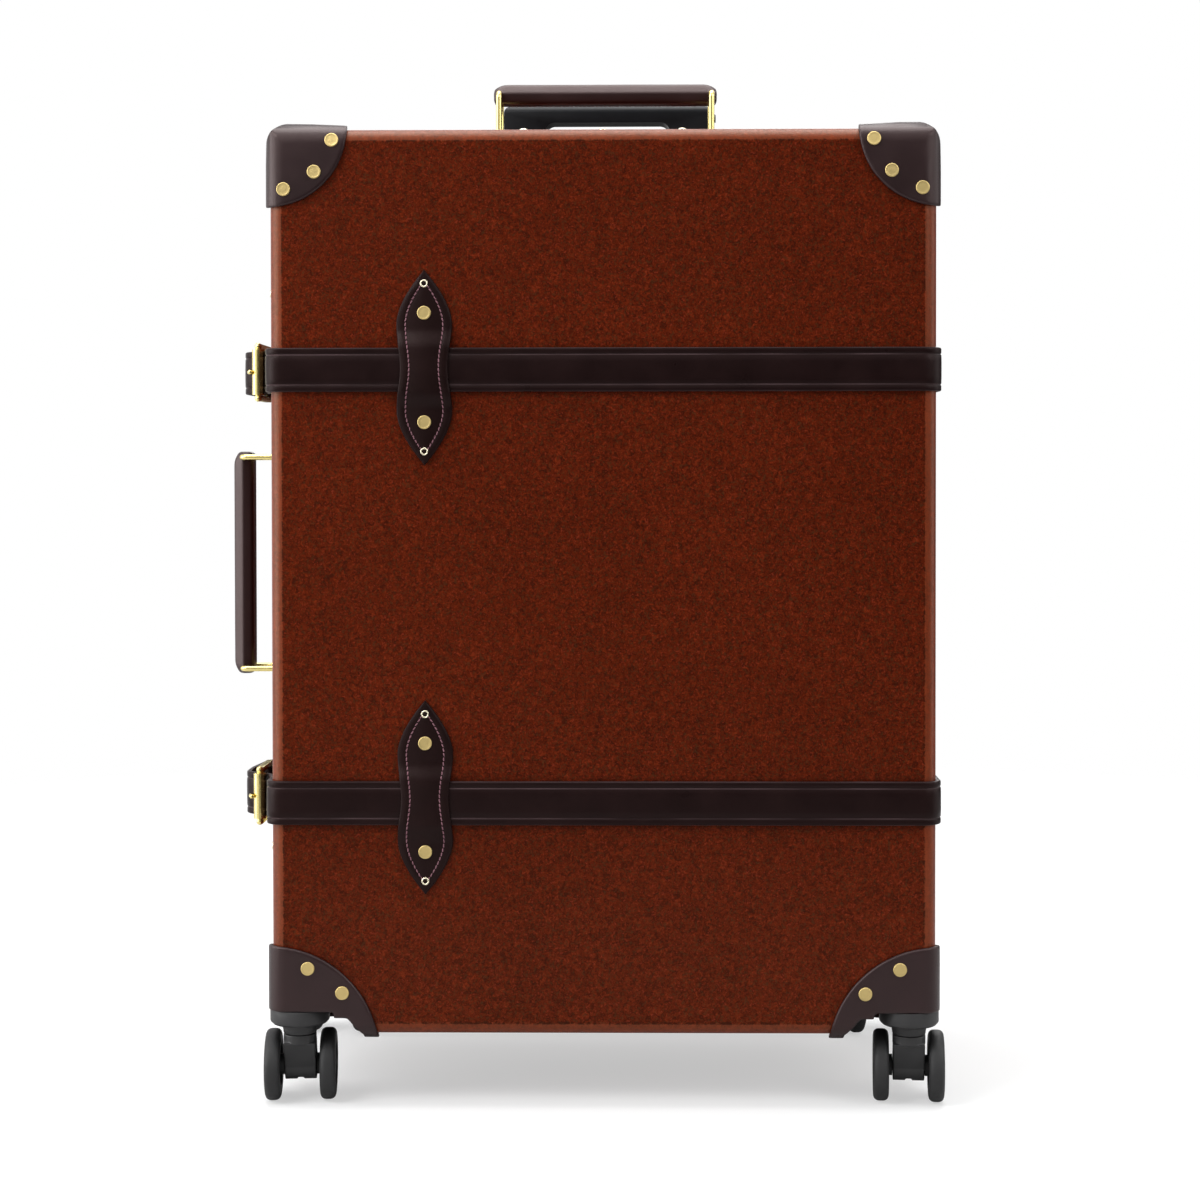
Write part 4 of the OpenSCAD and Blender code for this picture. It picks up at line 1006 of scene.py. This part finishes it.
def wheel_spokes(count=8):
    """Raised ribs on a wheel's outer face."""
    verts, faces = [], []
    for k in range(count):
        a = 2 * math.pi * k / count
        q = len(verts)
        for x, y, z in ((7.5, -1.1, 2.8), (16.5, -1.1, 2.8), (16.5, 1.1, 2.8), (7.5, 1.1, 2.8),
                        (7.5, -0.8, 4.2), (16.5, -0.8, 4.6), (16.5, 0.8, 4.6), (7.5, 0.8, 4.2)):
            verts.append((x * math.cos(a) - y * math.sin(a), x * math.sin(a) + y * math.cos(a), z))
        faces += [[q + i for i in c] for c in ((0, 3, 2, 1), (4, 5, 6, 7), (0, 1, 5, 4), (1, 2, 6, 5),
                                               (2, 3, 7, 6), (3, 0, 4, 7))]
    return verts, faces


def wheels():
    wheel = lathe([(3.06, 5.0), (8.0, 5.0), (8.4, 4.6), (8.6, 3.3), (15.4, 3.0), (15.9, 3.4), (16.1, 5.4),
                   (16.6, 5.9), (20.5, 6.0), (22.6, 5.95), (23.9, 5.75), (25.2, 5.2), (26.2, 4.2),
                   (26.8, 2.9), (27.0, 1.4), (27.0, -1.4), (26.8, -2.9), (26.2, -4.2), (25.2, -5.2),
                   (23.9, -5.75), (22.6, -5.95), (17.5, -6.0), (16.6, -5.6), (16.3, -3.2), (8.4, -3.0),
                   (8.0, -3.4), (8.0, -8.6), (3.06, -8.6), (3.06, 5.0)], 64)
    spokes = wheel_spokes()
    axle_end = lathe([(0, 5.5), (2.2, 5.5), (2.8, 5.2), (3.0, 4.8), (3.0, 3.0), (0, 3.0)], 32)
    for sy, fr in ((-1, "front"), (1, "rear")):
        for sx, lr in ((-1, "left"), (1, "right")):
            turn = (0 if sy < 0 else 180) + sx * sy * TOE_IN
            swivel = place(sx * (W / 2 - CASTER_IN), sy * (-FRONT - CASTER_IN), 0)
            caster = Matrix.Translation(swivel) @ rot(turn, "Z") @ Matrix.Scale(MM, 4)
            axle = caster @ Vector((0, WHEEL_BACK, WHEEL_R))
            for side in (-1, 1):
                m = caster @ Matrix.Translation((side * WHEEL_OUT, WHEEL_BACK, WHEEL_R)) @ rot(side * 90, "Y")
                io = "outer" if abs(m.translation.x - SX) > abs(axle.x - SX) else "inner"
                name = f"wheel_{fr}_{lr}_{io}"
                tyre, pin = Pool(), Pool()
                tyre.add(*wheel, m)
                tyre.add(*spokes, m)
                tyre.build(name + "_tyre", TYRE, name, [name], 38)
                pin.add(*axle_end, m)
                pin.build(name + "_axle_end", CHARCOAL, f"caster_{fr}_{lr}", (), 40)


rivets()
small_screws()
straps()
buckle_knobs()
patches()
handle_grips()
wheels()

# Everything else keeps its own shape

DRESSED = {
    BOARD: ("front_shell", "rear_shell"),
    ALLOY: ("front_frame", "rear_frame", "trolley_outer_tubes", "trolley_middle_tubes",
            "trolley_inner_tubes"),
    LINING: ("front_lining", "rear_lining"),
    BRASS: ("top_handle_loops", "side_handle_loops", "hinge_pins", "buckle_roller_upper",
            "buckle_roller_lower"),
    CHARCOAL: ("front_wheel_bays", "rear_wheel_bays"),
}
for mat, dressed in DRESSED.items():
    for n in dressed:
        dress(n, mat)
for n in ("front_corner_caps", "rear_corner_caps"):
    fuller_corners(softened(n, n + "_leather", CAP_LEATHER, 1.1, 5, 0.3))
for n in ("front_caster_cups", "rear_caster_cups"):
    bevelled(n, CHARCOAL, 0.7)
for n in [f"caster_fork_{fr}_{lr}" for fr in ("front", "rear") for lr in ("left", "right")]:
    softened(n, n + "_soft", CHARCOAL, 0.6, 3, 0.4)
for n in ("handle_plates", "hinge_rear_leaves", "hinge_front_leaves", "lock_cases", "lock_plates",
          "hasp_upper", "hasp_lower", "lock_button_upper", "lock_button_lower", "buckle_frame_upper",
          "buckle_frame_lower", "buckle_prong_upper", "buckle_prong_lower"):
    bevelled(n, BRASS, 0.4)
for n, width in (("trolley_grip", 2.0), ("trolley_bezel", 0.8), ("trolley_foot", 1.0),
                 ("trolley_button", 0.8)):
    bevelled(n, PLASTIC, width, 3)


# Camera, light and floor

def camera():
    """The photograph's viewpoint, fitted to the outline: millimetres, degrees and 1200 pixels across."""
    sensor, distance, seen_width, across = 36, 1650, 902.4, 1200
    cam = bpy.data.cameras.new("camera")
    cam.sensor_width = sensor
    cam.lens = 1.00082 * sensor * distance / seen_width
    cam.shift_x = -12.8 / across
    cam.shift_y = -91 / across
    ob = added("camera", cam)
    ob.matrix_world = (Matrix.Translation(place(31.2, FRONT - distance, 482)) @ rot(0.823, "Z")
                       @ rot(90 - 0.96, "X") @ rot(-0.066, "Z"))
    scene.camera = ob


def lights():
    target = Vector((SX, 0, 0.4))
    for name, where, size, power in (
            ("key", (-1.5, -1.5, 2.1), (1.2, 1.0), 33), ("fill", (1.7, -1.3, 1.5), (1.0, 1.2), 15),
            ("top", (0.0, 0.1, 2.7), (2.2, 1.8), 68), ("left_panel", (-2.0, -0.5, 0.8), (1.4, 1.8), 30),
            ("right_panel", (2.1, 0.0, 0.8), (1.0, 1.8), 9), ("back", (0.4, 2.3, 1.5), (1.6, 1.2), 20)):
        data = bpy.data.lights.new(name, "AREA")
        data.shape = "RECTANGLE"
        data.size, data.size_y = size
        data.energy = power
        ob = added(name, data)
        ob.location = where
        ob.rotation_euler = (target - Vector(where)).to_track_quat("-Z", "Y").to_euler()


def world():
    scene.world = bpy.data.worlds.new("studio")
    t = Tree(scene.world, "OutputWorld")
    path = t.node("LightPath")

    def between(value, a, b, hi):
        return t.span(value, a, b, 0.07, hi, interpolation_type="SMOOTHSTEP")

    def backdrop(strength):
        n = t.node("Background")
        n.inputs["Color"].default_value = (1, 1, 1, 1)
        t.put(strength, n.inputs["Strength"])
        return n.outputs[0]

    # Reflections show a white room, dim at eye level before and behind the object
    x, _, z = t.split(t.coord.outputs["Generated"])
    tone = t.math("MAXIMUM", between(x, -0.12, -0.34, 1.0), between(z, 0.13, 0.42, 1.0))
    tone = t.math("MAXIMUM", tone, between(x, 0.25, 0.75, 0.12))
    unseen = t.mix_shaders(path.outputs["Is Glossy Ray"], backdrop(0.24), backdrop(tone))
    see = t.math("MAXIMUM", path.outputs["Is Camera Ray"], path.outputs["Is Transmission Ray"])
    t.put(t.mix_shaders(see, unseen, backdrop(1.0)), t.out.inputs["Surface"])


def floor():
    t = material("floor_pale", (0.9, 0.9, 0.9))
    path = t.node("LightPath")
    colour = t.mix(path.outputs["Is Camera Ray"], (0.62, 0.62, 0.62), (1.0, 1.0, 1.0))
    grain = t.ramp(t.noise(3, 2.0, 0.5), [(0.3, (0.995, 0.995, 0.995)), (0.7, (1, 1, 1))])
    lit = t.node("BsdfDiffuse")
    t.put(t.mix(1.0, colour, grain, "MULTIPLY"), lit.inputs["Color"])
    # A share of plain white keeps the shadow as light as it is on a white sweep
    glow = t.node("Emission")
    glow.inputs["Color"].default_value = (1, 1, 1, 1)
    glow.inputs["Strength"].default_value = 1.0
    share = t.math("MULTIPLY", path.outputs["Is Camera Ray"], 0.5)
    pale = t.mix_shaders(share, lit.outputs[0], glow.outputs[0])
    # The floor fades out round the object, where it would meet the white behind it
    away = t.node("VectorMath", operation="LENGTH")
    t.put(t.coord.outputs["Object"], away.inputs[0])
    fade = t.span(away.outputs["Value"], 0.8, 1.9, 0.0, 1.0)
    t.put(t.mix_shaders(fade, pale, t.node("BsdfTransparent").outputs[0]), t.out.inputs["Surface"])
    bm = bmesh.new()
    bmesh.ops.create_circle(bm, cap_ends=True, segments=96, radius=2.8)
    me = bpy.data.meshes.new("floor")
    bm.to_mesh(me)
    bm.free()
    me.materials.append(t.owner)
    ob = added("floor", me)
    ob.location = (SX, 0, 0)


camera()
lights()
world()
floor()
